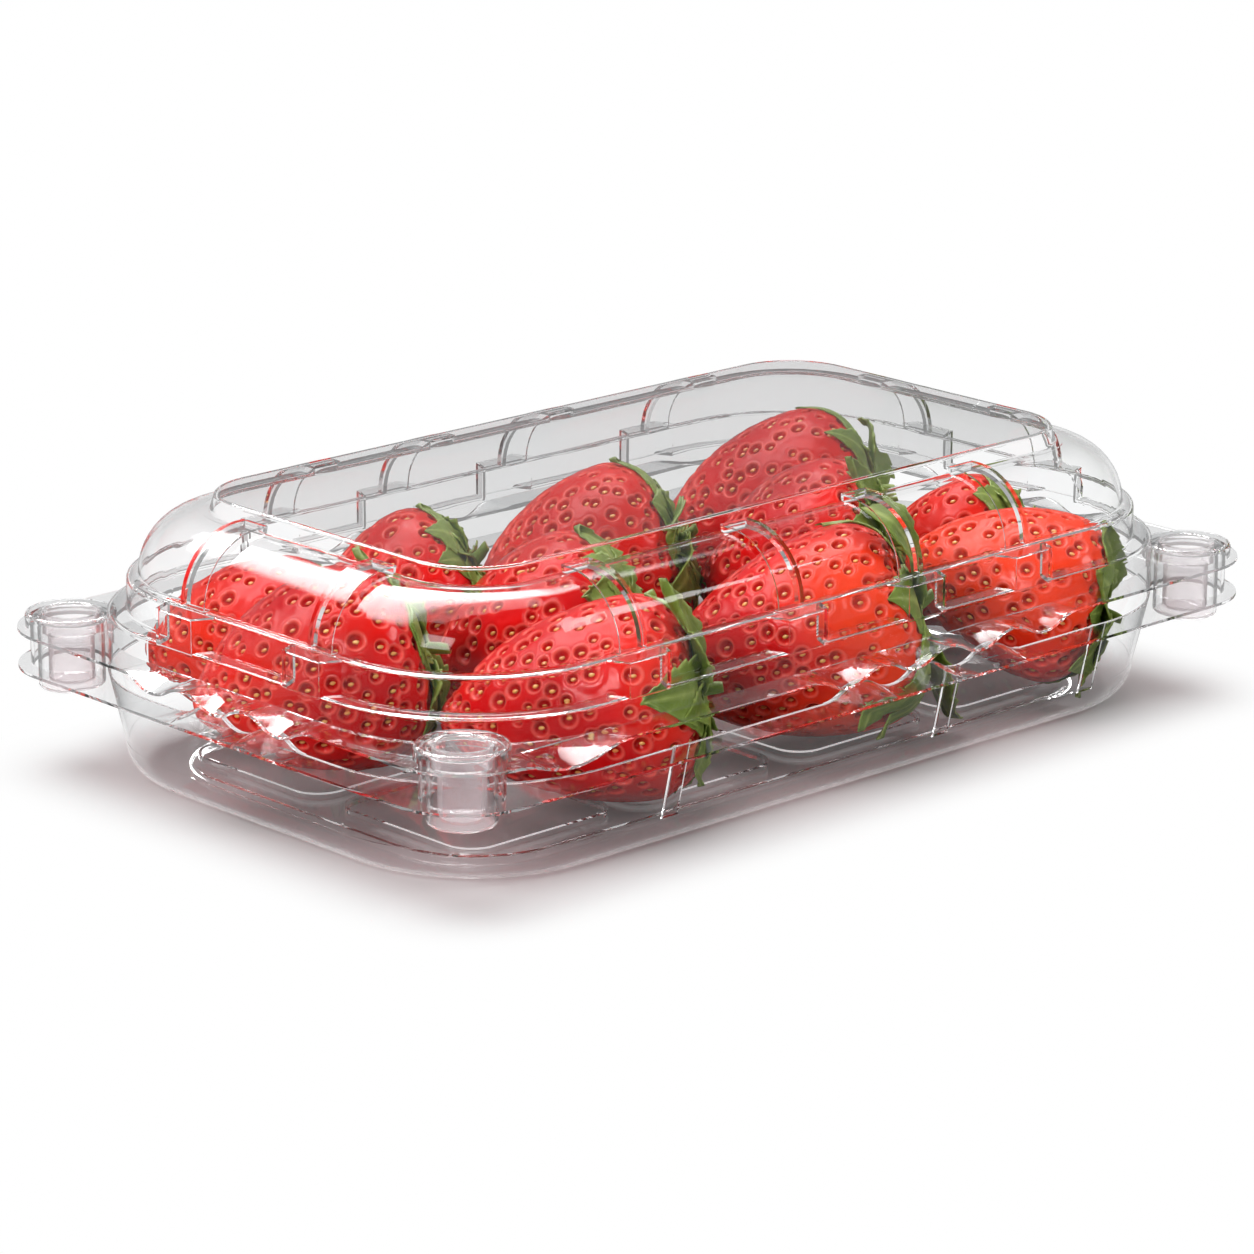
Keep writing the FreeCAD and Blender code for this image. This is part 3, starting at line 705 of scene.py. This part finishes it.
@dataclass
class FruitForm:
    """The outline that every fruit is turned from, as shares of its radius."""

    tip_share: float = 0.28
    shoulder_share: float = 0.55
    hollow_depth: float = 0.10
    hollow_width: float = 0.32
    arc_points: int = 300
    points: int = 400

    def outline(self, place: FruitPlace) -> tuple[Rows, Rows]:
        """Walk the outline from the tip to the middle of the crown at even steps.

        Args:
            place: The fruit's place and size.

        Returns:
            The distances from the axis and the heights.
        """
        length, radius = place.length, place.radius
        tip, shoulder = radius * self.tip_share, radius * self.shoulder_share
        rise = length - shoulder - tip
        flank = (radius ** 2 + rise ** 2 - tip ** 2) / (2 * (radius - tip))
        lean = math.atan2(rise, flank - radius)
        steps = np.linspace(0.0, 1.0, self.arc_points)
        tip_turn = steps * (math.pi / 2 - lean)
        flank_turn = -lean * (1 - steps)
        crown_turn = steps * math.pi / 2
        across = np.concatenate([tip * np.sin(tip_turn),
                                 radius - flank + flank * np.cos(flank_turn),
                                 radius - shoulder + shoulder * np.cos(crown_turn),
                                 (radius - shoulder) * (1 - steps)])
        height = np.concatenate([tip - tip * np.cos(tip_turn),
                                 length - shoulder + flank * np.sin(flank_turn),
                                 length - shoulder + shoulder * np.sin(crown_turn),
                                 np.full(self.arc_points, length)])
        hollow = self.hollow_depth * radius * np.exp(-(across / (self.hollow_width * radius)) ** 2)
        height -= np.where(height > length / 2, hollow, 0.0)
        walked = np.concatenate([[0.0], np.cumsum(np.hypot(np.diff(across), np.diff(height)))])
        even = np.linspace(0.0, walked[-1], self.points)
        return np.interp(even, walked, across), np.interp(even, walked, height)


@dataclass(frozen=True)
class Seats:
    """Where the seeds sit, in the fruit's axes: one row a seed in each table."""

    places: Rows
    outward: Rows
    upward: Rows


@dataclass
class Strawberry:
    """One fruit: a turned body with pressed pits, and a seed in each pit.

    The first pits are the solid's own, in rings down the flank. A spiral fills the rest.
    Sizes are in millimetres.
    """

    place: FruitPlace
    skin: Material
    seed_coat: Material
    form: FruitForm = field(default_factory=FruitForm)
    around: int = 192
    along: int = 136
    waves: tuple[tuple[int, float], ...] = ((2, 0.030), (3, 0.022), (5, 0.010))
    wave_depths: Span = (0.5, 1.0)
    wave_pace: float = 1.15
    rings: int = 3
    ring_pits: int = 9
    ring_step: float = 0.4
    seed_gap: float = 3.55
    packing: float = 0.87
    walk: float = 1.5
    crowding: Span = (1.35, 0.55)
    seeded: Span = (0.004, 0.93)
    turn_jitter: float = 0.055
    share_jitter: float = 0.007
    clearance: float = 0.78
    nudges: Span = (0.004, 0.01)
    core: float = 0.55
    pit_radius: float = 1.5
    pit_depth: float = 0.85
    pit_power: float = 1.5
    pit_widths: Span = (0.70, 1.14)
    rim_place: float = 1.25
    rim_width: float = 0.5
    rim_height: float = 0.16
    pale_from: float = 0.78
    pale_over: float = 0.18
    pale_power: float = 1.4
    seed_size: Point = (0.34, 0.56, 0.24)
    seed_taper: float = 0.45
    seed_sink: float = 0.72
    lumps: list[tuple[int, float, float]] = field(init=False, default_factory=list)

    def build(self) -> Object:
        """Model, dress and join the fruit.

        Returns:
            The finished fruit.
        """
        random = np.random.default_rng(self.place.number)
        self.lumps = [(count, depth * random.uniform(*self.wave_depths),
                       random.uniform(0, 2 * math.pi))
                      for count, depth in self.waves]
        seats = self._seats(random)
        body = self._body(random, seats)
        whole = join([body, self._seeds(seats)], f"fruit_{self.place.number}")
        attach(whole, "tray")
        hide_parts(f"strawberry_{self.place.number}")
        return whole

    def _surface(self, share: Rows, angle: Rows) -> Rows:
        """Find points on the flank, which the lumps make uneven.

        Args:
            share: How far along the outline each point is, from tip to crown.
            angle: Its turn about the axis.

        Returns:
            Rows of x, y, z in the fruit's axes.
        """
        across, height = self.form.outline(self.place)
        steps = np.linspace(0.0, 1.0, len(across))
        radius = np.interp(share, steps, across)
        tall = np.interp(share, steps, height)
        waves = sum(depth * 0.5 * (1 + np.cos(count * angle + turn))
                    for count, depth, turn in self.lumps)
        radius *= 1 - waves * np.sin(math.pi * np.clip(share * self.wave_pace, 0, 1))
        return np.stack([radius * np.cos(angle), radius * np.sin(angle), tall], 1)

    def _ring_seats(self) -> tuple[Rows, Rows]:
        """Find the pits that the solid has too, ring by ring down the flank.

        Returns:
            How far along the outline each is, and its turn about the axis.
        """
        across, tall = self.form.outline(self.place)
        top = int(tall.argmax())
        crown = self.place.length - self.place.radius * self.form.shoulder_share
        rise = crown - self.place.radius * self.form.tip_share
        ring, spot = np.divmod(np.arange(self.rings * self.ring_pits), self.ring_pits)
        share = np.interp(crown - ring * self.ring_step * rise, tall[:top],
                          np.linspace(0.0, 1.0, len(across))[:top])
        turn = (spot + 0.5 * (ring % 2)) / self.ring_pits
        return share, 2 * math.pi * turn - math.pi / 2

    def _spiral_seats(self, random: Random) -> tuple[Rows, Rows]:
        """Spread pits in a spiral of even spacing, closer together towards the tip.

        Args:
            random: The fruit's generator.

        Returns:
            How far along the outline each is, and its turn about the axis.
        """
        across, _ = self.form.outline(self.place)
        steps = np.linspace(0.0, 1.0, len(across))
        base, easing = self.crowding
        crowd = across * (base - easing * across / across.max())
        area = np.concatenate([[0.0], np.cumsum((crowd[1:] + crowd[:-1]) / 2)])
        size = 2 * math.pi * across.sum() * self.place.length * self.walk / len(across)
        count = int(size / (self.seed_gap ** 2 * self.packing))
        rank = (np.arange(count) + 0.5) / count
        rank = rank[(rank > self.seeded[0]) & (rank < self.seeded[1])]
        angle = np.arange(len(rank)) * GOLDEN_ANGLE + random.normal(0, self.turn_jitter, len(rank))
        share = np.interp(rank * area[-1], area, steps)
        return share + random.normal(0, self.share_jitter, len(rank)), angle

    def _seats(self, random: Random) -> Seats:
        """Take the rings' pits, and those of the spiral that stay clear of them.

        Args:
            random: The fruit's generator.

        Returns:
            Where the seeds sit.
        """
        share, angle = self._spiral_seats(random)
        ring_share, ring_angle = self._ring_seats()
        between = (self._surface(share, angle)[:, None, :]
                   - self._surface(ring_share, ring_angle)[None, :, :])
        free = np.linalg.norm(between, axis=2).min(axis=1) > self.seed_gap * self.clearance
        share = np.concatenate([ring_share, share[free]])
        angle = np.concatenate([ring_angle, angle[free]])
        places = self._surface(share, angle)
        upward = self._surface(share + self.nudges[0], angle) - places
        side = self._surface(share, angle + self.nudges[1]) - places
        return Seats(places, unit(np.cross(side, upward)), unit(upward))

    def _body(self, random: Random, seats: Seats) -> Object:
        """Model the flesh: a ball drawn to the outline, with the pits pressed in.

        Args:
            random: The fruit's generator.
            seats: Where the pits are.

        Returns:
            The body, in the frame.
        """
        body = model(bpy.ops.mesh.primitive_uv_sphere_add, segments=self.around,
                     ring_count=self.along, radius=1.0)
        bpy.ops.object.shade_smooth()
        ball = read_points(body)
        share = 1 - np.arccos(np.clip(ball[:, 2], -1, 1)) / math.pi
        points = self._surface(share, np.arctan2(ball[:, 1], ball[:, 0]))
        wide = random.uniform(*self.pit_widths, len(seats.places))
        wide[:self.rings * self.ring_pits] = self.pit_widths[1]
        inward = unit(SCENE_UP * self.place.length * self.core - points)
        # Ring by ring, to keep the table of distances small.
        gap = np.concatenate([
            (np.linalg.norm(some[:, None, :] - seats.places, axis=2) / wide).min(axis=1)
            for some in np.array_split(points, self.along)]) / self.pit_radius
        pit = self.pit_depth * np.clip(1 - gap ** 2, 0, 1) ** self.pit_power
        rim = self.rim_height * np.exp(-((gap - self.rim_place) / self.rim_width) ** 2)
        write_points(body, self.place.to_frame(points + inward * (pit - rim)[:, None]))
        store(body, "gap", np.clip(gap, 0, 3))
        pale = np.clip((share - self.pale_from) / self.pale_over, 0, 1)
        store(body, "pale", pale ** self.pale_power)
        store(body, "warm", np.full(len(points), self.place.warm))
        body.data.materials.append(self.skin)
        return body

    def _seeds(self, seats: Seats) -> Object:
        """Model one seed and lay a copy in every pit.

        Args:
            seats: Where the seeds sit.

        Returns:
            All the seeds as one object, in the frame.
        """
        seed = model(bpy.ops.mesh.primitive_uv_sphere_add, segments=8, ring_count=5, radius=1.0)
        one = read_points(seed)
        one[:, 0] *= 1 - self.seed_taper * np.clip(one[:, 1], 0, 1)
        one *= np.array(self.seed_size)
        faces = [tuple(face.vertices) for face in seed.data.polygons]
        bpy.data.objects.remove(seed)
        turned = np.stack([np.cross(seats.upward, seats.outward), seats.upward, seats.outward], 1)
        seat = seats.places - seats.outward * (self.pit_depth * self.seed_sink)
        points = (seat[:, None, :] + one @ turned).reshape(-1, 3)
        rows = [[corner + first for corner in face]
                for first in range(0, len(points), len(one)) for face in faces]
        mesh = bpy.data.meshes.new("seeds")
        mesh.from_pydata(self.place.to_frame(points).tolist(), [], rows)
        mesh.polygons.foreach_set("use_smooth", [True] * len(mesh.polygons))
        seeds = bpy.data.objects.new("seeds", mesh)
        bpy.context.scene.collection.objects.link(seeds)
        mesh.materials.append(self.seed_coat)
        return seeds


@dataclass(frozen=True)
class Cavity:
    """The room inside the closed punnet, in millimetres, where loose leaves have to stay.

    `half` and `corner` are the wall's inside at its widest, and `insets` is how much further
    in it is at each of the `heights`.
    """

    half: Span = (86.6, 51.1)
    corner: float = 28.6
    floor: float = 3.2
    roof: float = 43.0
    heights: Levels = (3.0, 6.0, 17.5, 27.5, 27.6, 33.0, 33.1, 38.0, 41.0, 43.0)
    insets: Levels = (4.6, 3.0, 0.2, 0.2, 3.5, 3.5, 5.6, 7.0, 9.5, 14.0)

    def hold(self, points: Rows) -> Rows:
        """Move points in where they would pass through a wall.

        Args:
            points: Rows of x, y, z in metres.

        Returns:
            The points, all inside.
        """
        half, corner = np.array(self.half) * MM, self.corner * MM
        tall = np.clip(points[:, 2], self.floor * MM, self.roof * MM)
        inset = np.interp(tall, np.array(self.heights) * MM, np.array(self.insets) * MM)
        core = half - corner
        over = np.abs(points[:, :2]) - core
        rounded = (over > 0).all(axis=1)
        far = np.hypot(*np.maximum(over, 0).T)
        limit = corner - inset
        pull = np.where(rounded & (far > limit), limit / np.maximum(far, 1e-9), 1.0)
        flat = np.where(rounded[:, None], np.sign(points[:, :2]) * (core + over * pull[:, None]),
                        np.clip(points[:, :2], inset[:, None] - half, half - inset[:, None]))
        return np.column_stack([flat, tall])


@dataclass
class Calyx:
    """The green star on a fruit's crown: broad toothed sepals, curling, and a cut stem.

    `root`, `reach`, `half_width`, `clinging`, `wave` and `sway` are shares of the fruit's
    radius. `lengths`, `widths`, `starts`, `bends` and `tips` are the two ends of a draw.
    Sizes are in millimetres, `starts` and `stem_crease` in degrees, other turns in radians.
    """

    place: FruitPlace
    leaf: Material
    cavity: Cavity = field(default_factory=Cavity)
    sepals: int = 9
    columns: int = 10
    rows: int = 36
    root: float = 0.08
    reach: float = 0.98
    half_width: float = 0.34
    thickness: float = 0.26
    clinging: float = 0.99
    lying: float = 0.3
    layer: float = 0.30
    teeth: int = 6
    tooth_depth: float = 0.20
    tooth_from: float = 0.6
    lengths: Span = (0.72, 1.12)
    widths: Span = (0.85, 1.2)
    starts: Span = (0, 20)
    bends: Span = (-1.6, -0.45)
    tips: Span = (-0.2, 1.2)
    twist: float = 0.35
    sway: float = 0.10
    turn_jitter: float = 0.12
    spine_points: int = 80
    bend_over: float = 0.62
    tip_power: float = 2.2
    fold: float = 0.35
    fold_power: float = 1.5
    wave: float = 0.035
    wave_counts: Span = (9, 2.5)
    blade_shares: Levels = (0, 0.1, 0.35, 0.62, 0.85, 0.95, 1.0)
    blade_widths: Levels = (0.45, 0.62, 1.0, 0.88, 0.42, 0.17, 0.0)
    middle_vein: float = 0.09
    side_veins: int = 7
    side_lean: float = 1.2
    side_vein: float = 0.10
    side_share: float = 0.35
    pale_edge: float = 0.95
    edge_share: float = 0.6
    stem_length: float = 5.5
    stem_sink: float = 1.2
    stem_lean: float = 1.6
    stem_cuts: Levels = (-0.3, -0.1, 0.1, 0.3, 0.45)
    stem_shares: Levels = (0, 0.2, 0.5, 0.9, 1.0)
    stem_radii: Levels = (2.3, 1.35, 1.05, 1.0, 0.85)
    stem_pale: Span = (0.25, 0.5)
    stem_end: float = 0.97
    stem_crease: float = 50.0

    def build(self) -> Object:
        """Model, dress and join the calyx.

        Returns:
            The finished calyx.
        """
        random = np.random.default_rng(100 + self.place.number)
        blades = [self._sepal(number, random) for number in range(self.sepals)]
        whole = join(blades + [self._stem(random)], f"sepals_{self.place.number}")
        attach(whole, "tray")
        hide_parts(f"calyx_{self.place.number}")
        return whole

    def _spine(self, random: Random, along: Rows) -> tuple[Rows, Rows]:
        """Draw a sepal's middle line.

        It rises off the crown, bends over the shoulder and turns its tip up or under.

        Args:
            random: The calyx's generator.
            along: How far along the line each point is, from 0 to 1.

        Returns:
            How far out and how far up each point is.
        """
        reach = self.reach * self.place.leafy * self.place.radius * random.uniform(*self.lengths)
        steps = np.linspace(0, 1, self.spine_points)
        start = math.radians(random.uniform(*self.starts))
        bend, tip = random.uniform(*self.bends), random.uniform(*self.tips)
        angle = (start + bend * np.sin(math.pi * steps * self.bend_over)
                 + tip * steps ** self.tip_power)
        middle = (angle[1:] + angle[:-1]) / 2
        stride = reach / (len(steps) - 1)
        run, rise = (np.interp(along, steps, np.concatenate([[0], np.cumsum(part)]) * stride)
                     for part in (np.cos(middle), np.sin(middle)))
        return run, rise

    def _sepal(self, number: int, random: Random) -> Object:
        """Model one sepal: a pointed, cupped, toothed blade.

        Args:
            number: Its place in the star.
            random: The calyx's generator.

        Returns:
            The sepal, in the frame.
        """
        blade = model(bpy.ops.mesh.primitive_grid_add, x_subdivisions=self.columns,
                      y_subdivisions=self.rows, size=2.0)
        flat = read_points(blade)
        across, along = flat[:, 0], (flat[:, 1] + 1) / 2
        radius = self.place.radius
        run, rise = self._spine(random, along)
        outward = self.root * radius + run
        shape = np.interp(along, self.blade_shares, self.blade_widths)
        at_edge = np.clip((np.abs(across) - self.tooth_from) / (1 - self.tooth_from), 0, 1)
        notch = 1 - self.tooth_depth * (along * self.teeth % 1.0) * at_edge
        wide = self.half_width * radius * shape * notch * random.uniform(*self.widths)
        fold = self.fold * np.abs(across) ** self.fold_power * wide
        ripples = self.wave_counts[0] * along + self.wave_counts[1] * across + number
        wavy = self.wave * radius * np.sin(ripples) * along
        twist = random.normal(0, self.twist) * along
        side, sway = across * wide, random.normal(0, self.sway) * radius * along ** 2
        turn = 2 * math.pi * number / self.sepals + random.normal(0, self.turn_jitter)
        tall = self.place.length + rise + fold + wavy + side * np.sin(twist)
        beside = side * np.cos(twist) + sway
        x = outward * math.cos(turn) - beside * math.sin(turn)
        y = outward * math.sin(turn) + beside * math.cos(turn)
        far = np.hypot(x, y)
        resting = np.maximum(tall, self._crown(far) + self.lying)
        tall = np.where(far < radius * self.clinging, resting, tall) + self.layer * (number % 2)
        write_points(blade, self.cavity.hold(self.place.to_frame(np.stack([x, y, tall], 1))))
        store(blade, "vein", self._veins(across, along))
        blade.data.materials.append(self.leaf)
        self._thicken(blade)
        return blade

    def _veins(self, across: Rows, along: Rows) -> Rows:
        """Work out how pale a sepal is: along its middle, its side veins and its edge.

        Args:
            across: How far each point is from the middle, from -1 to 1.
            along: How far it is towards the tip, from 0 to 1.

        Returns:
            One number a point.
        """
        middle = np.exp(-(across / self.middle_vein) ** 2)
        off_vein = (along * self.side_veins - np.abs(across) * self.side_lean) % 1.0 - 0.5
        beside = self.side_share * np.exp(-(off_vein / self.side_vein) ** 2)
        return middle + beside + self.edge_share * (np.abs(across) > self.pale_edge)

    def _crown(self, outward: Rows) -> Rows:
        """Work out how high the fruit's own surface stands.

        Args:
            outward: Distances from the fruit's axis.

        Returns:
            The surface's heights.
        """
        radius, length = self.place.radius, self.place.length
        shoulder = radius * FruitForm().shoulder_share
        past = np.clip(outward - (radius - shoulder), 0, shoulder * 0.98)
        return length - shoulder + np.sqrt(shoulder ** 2 - past ** 2)

    def _thicken(self, blade: Object) -> None:
        """Give a blade its thickness and smooth its shading.

        Args:
            blade: The flat sepal.
        """
        activate([blade])
        bpy.ops.object.shade_smooth()
        solid = blade.modifiers.new("thick", "SOLIDIFY")
        solid.thickness = self.thickness * MM
        solid.offset = 0.0
        bpy.ops.object.modifier_apply(modifier="thick")

    def _stem(self, random: Random) -> Object:
        """Model the stub of stem: a tapered, bent rod that flares into the calyx.

        Args:
            random: The calyx's generator.

        Returns:
            The stem, in the frame.
        """
        stem = model(bpy.ops.mesh.primitive_cylinder_add, vertices=20, radius=1.0, depth=1.0)
        bpy.ops.object.mode_set(mode="EDIT")
        for level in self.stem_cuts:
            bpy.ops.mesh.select_all(action="SELECT")
            bpy.ops.mesh.bisect(plane_co=(0, 0, level), plane_no=(0, 0, 1))
        bpy.ops.object.mode_set(mode="OBJECT")
        rod = read_points(stem)
        along = rod[:, 2] + 0.5
        thick = np.interp(along, self.stem_shares, self.stem_radii)
        bend = random.uniform(0, 2 * math.pi)
        lean = self.stem_lean * along ** 2
        x = rod[:, 0] * thick + lean * math.cos(bend)
        y = rod[:, 1] * thick + lean * math.sin(bend)
        tall = self.place.length - self.stem_sink + along * self.stem_length
        write_points(stem, self.cavity.hold(self.place.to_frame(np.stack([x, y, tall], 1))))
        store(stem, "vein", self.stem_pale[1] * (along > self.stem_end) + self.stem_pale[0])
        stem.data.materials.append(self.leaf)
        activate([stem])
        bpy.ops.object.shade_smooth_by_angle(angle=math.radians(self.stem_crease))
        return stem


class Sheets:
    """The tray and the lid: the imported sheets, dressed in clear plastic."""

    def dress(self, clear: Material) -> None:
        """Give both sheets their finish.

        Args:
            clear: The clear sheet's material.
        """
        for name in ("tray", "lid"):
            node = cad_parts[name]
            node.data.materials.clear()
            node.data.materials.append(clear)


@dataclass(frozen=True)
class Viewpoint:
    """The camera, by its direction from the target in degrees and its distance in metres."""

    azimuth: float = -43.6
    elevation: float = 16.6
    roll: float = 0.3
    distance: float = 0.860
    target: Point = (-0.0043, -0.0007, 0.0183)
    lens: float = 147.3
    sensor: float = 36.0
    nearest: float = 0.01

    def build(self) -> None:
        """Place the camera and look through it."""
        turn, up = math.radians(self.azimuth), math.radians(self.elevation)
        back = Vector((math.sin(turn) * math.cos(up), -math.cos(turn) * math.cos(up),
                       math.sin(up)))
        right = Vector((math.cos(turn), math.sin(turn), 0.0))
        top = back.cross(right)
        lean = math.radians(self.roll)
        right, top = (right * math.cos(lean) + top * math.sin(lean),
                      top * math.cos(lean) - right * math.sin(lean))
        data = bpy.data.cameras.new("camera")
        data.lens, data.sensor_width, data.clip_start = self.lens, self.sensor, self.nearest
        camera = bpy.data.objects.new("camera", data)
        bpy.context.scene.collection.objects.link(camera)
        place = Vector(self.target) + back * self.distance
        turned = Matrix((right, top, back)).transposed().to_4x4()
        camera.matrix_world = Matrix.Translation(place) @ turned
        bpy.context.scene.camera = camera


@dataclass(frozen=True)
class Softbox:
    """One lamp that faces the object: its middle and size in metres, its power in watts."""

    name: str
    place: Point
    size: Span
    power: float
    aim: Point = (0.0, 0.0, 0.02)

    def build(self) -> None:
        """Hang the lamp."""
        data = bpy.data.lights.new(self.name, "AREA")
        data.shape = "RECTANGLE"
        data.size, data.size_y = self.size
        data.energy = self.power
        lamp = bpy.data.objects.new(self.name, data)
        bpy.context.scene.collection.objects.link(lamp)
        lamp.location = self.place
        towards = Vector(self.aim) - Vector(self.place)
        lamp.rotation_euler = towards.to_track_quat("-Z", "Y").to_euler()


@dataclass(frozen=True)
class Card:
    """A bright card that only mirrored rays see, in metres; its edges fade out."""

    name: str = "card"
    wide: Span = (-1.05, 1.0)
    deep: Span = (0.2, 1.25)
    height: float = 1.0
    strength: float = 40.0
    fade: Span = (0.34, 0.5)

    def build(self) -> None:
        """Hang the card."""
        card = model(bpy.ops.mesh.primitive_plane_add, size=1.0)
        corners = read_points(card)
        for axis, (low, high) in enumerate((self.wide, self.deep)):
            corners[:, axis] = np.where(corners[:, axis] > 0, high, low)
        corners[:, 2] = self.height
        write_points(card, corners)
        card.name = self.name
        paint = Paint(self.name)
        glow = paint.node("Emission", {"Color": WHITE, "Strength": self.strength})
        dark = paint.node("BsdfTransparent", {"Color": WHITE})
        lit = [paint.ease((side - 0.5).unsigned(), self.fade, FALLING)
               for side in paint.place("Generated")]
        card.data.materials.append(paint.finish(paint.mix_shader(lit[0] * lit[1], dark, glow)))
        card.visible_camera = card.visible_diffuse = card.visible_shadow = False
        card.visible_transmission = False


@dataclass(frozen=True)
class Backdrop:
    """A plain white backdrop round the object and a dim ceiling over it.

    White is what a viewer sees, up to `horizon`. It is weaker in what the sheets mirror, and
    weaker still in light that was caught between them, which gives them their grey lines.
    """

    horizon: Span = (0.08, 0.25)
    ceiling: float = 0.12
    beyond: float = 0.30
    glossy_loss: float = 0.07
    mirror_loss: float = 0.55
    trapped_loss: float = 0.85

    def build(self) -> None:
        """Make the world."""
        world = bpy.data.worlds.new("plain")
        bpy.context.scene.world = world
        sky = Paint(world)
        lit = sky.ray(Ray.SPREADINGS).under(ANY)
        low = sky.ease(sky.place("Generated", "Z")[0], self.horizon, FALLING)
        through = sky.ray(Ray.THROUGH) * lit * self.beyond
        glossy = sky.ray(Ray.GLOSSY) * lit * self.glossy_loss
        white, dim = (sky.node("Background", {"Color": WHITE, "Strength": strength})
                      for strength in (1.0, through - glossy + self.ceiling))
        share = (sky.watched() * lit * low * (1.0 - sky.trapped() * self.trapped_loss)
                 * (1.0 - sky.mirrored() * self.mirror_loss))
        sky.finish(sky.mix_shader(share, dim, white))


@dataclass(frozen=True)
class Floor:
    """The pale floor: it takes the shade near the footprint and is plain white further out."""

    size: float = 6.0
    height: float = -0.0002
    tone: Colour = (0.45, 0.45, 0.45)
    glow: float = 0.05
    mirror_glow: float = 0.40
    mirror_loss: float = 0.55
    trapped_loss: float = 0.65
    footprint: Span = (0.080, 0.045)
    shadow: float = 0.023

    def build(self) -> None:
        """Lay the floor."""
        floor = model(bpy.ops.mesh.primitive_plane_add, size=self.size,
                      location=(0, 0, self.height))
        floor.name = "floor"
        paint = Paint("pale_floor")
        matt = paint.node("BsdfDiffuse", {"Color": self.tone})
        mirrored = paint.mirrored()
        plainness = ((1.0 - mirrored * self.mirror_loss)
                     * (1.0 - paint.trapped() * self.trapped_loss))
        glow, plain = (paint.node("Emission", {"Color": WHITE, "Strength": strength})
                       for strength in (mirrored * self.mirror_glow + self.glow, plainness))
        beside = [(side.unsigned() - half).larger(0.0)
                  for side, half in zip(paint.place(), self.footprint)]
        near = paint.node("AddShader", [matt, glow])
        shown = paint.mix_shader(paint.ease(diagonal(beside), (0.0, self.shadow)), near, plain)
        floor.data.materials.append(paint.finish(paint.mix_shader(paint.watched(), matt, shown)))


@dataclass
class Studio:
    """Camera, softboxes, card, world and floor.

    Light goes round many times inside clear sheet, so its paths are given many turns:
    with few, the folds turn black.
    """

    turns: int = 48
    parts: tuple[Viewpoint | Softbox | Card | Backdrop | Floor, ...] = (
        Viewpoint(),
        Softbox("overhead", (0.0, 0.35, 1.05), (1.3, 0.9), 20.0),
        Softbox("left_fill", (-1.1, -0.35, 0.75), (0.5, 0.5), 17.0),
        Softbox("right_fill", (0.8, -0.9, 0.9), (0.4, 0.4), 10.0),
        Card(), Backdrop(), Floor())

    def build(self) -> None:
        """Set up everything that isn't the object."""
        cycles = bpy.context.scene.cycles
        cycles.max_bounces = cycles.transmission_bounces = cycles.glossy_bounces = self.turns
        cycles.transparent_max_bounces = self.turns
        for part in self.parts:
            part.build()
            log.info("studio: %s", type(part).__name__)


def main() -> None:
    """Build the scene."""
    bpy.context.scene.view_settings.view_transform = "Standard"
    Studio().build()
    Sheets().dress(ClearSheet().material("clear_sheet"))
    log.info("sheets dressed")
    skin, coat = FruitSkin().material("berry_skin"), SeedCoat().material("seed_coat")
    leaf = Leaf().material("green_leaf")
    for place in FRUIT:
        fruit = Strawberry(place, skin, coat).build()
        calyx = Calyx(place, leaf).build()
        log.info("%s and %s: %d and %d faces", fruit.name, calyx.name,
                 len(fruit.data.polygons), len(calyx.data.polygons))


if __name__ == "__main__":
    main()
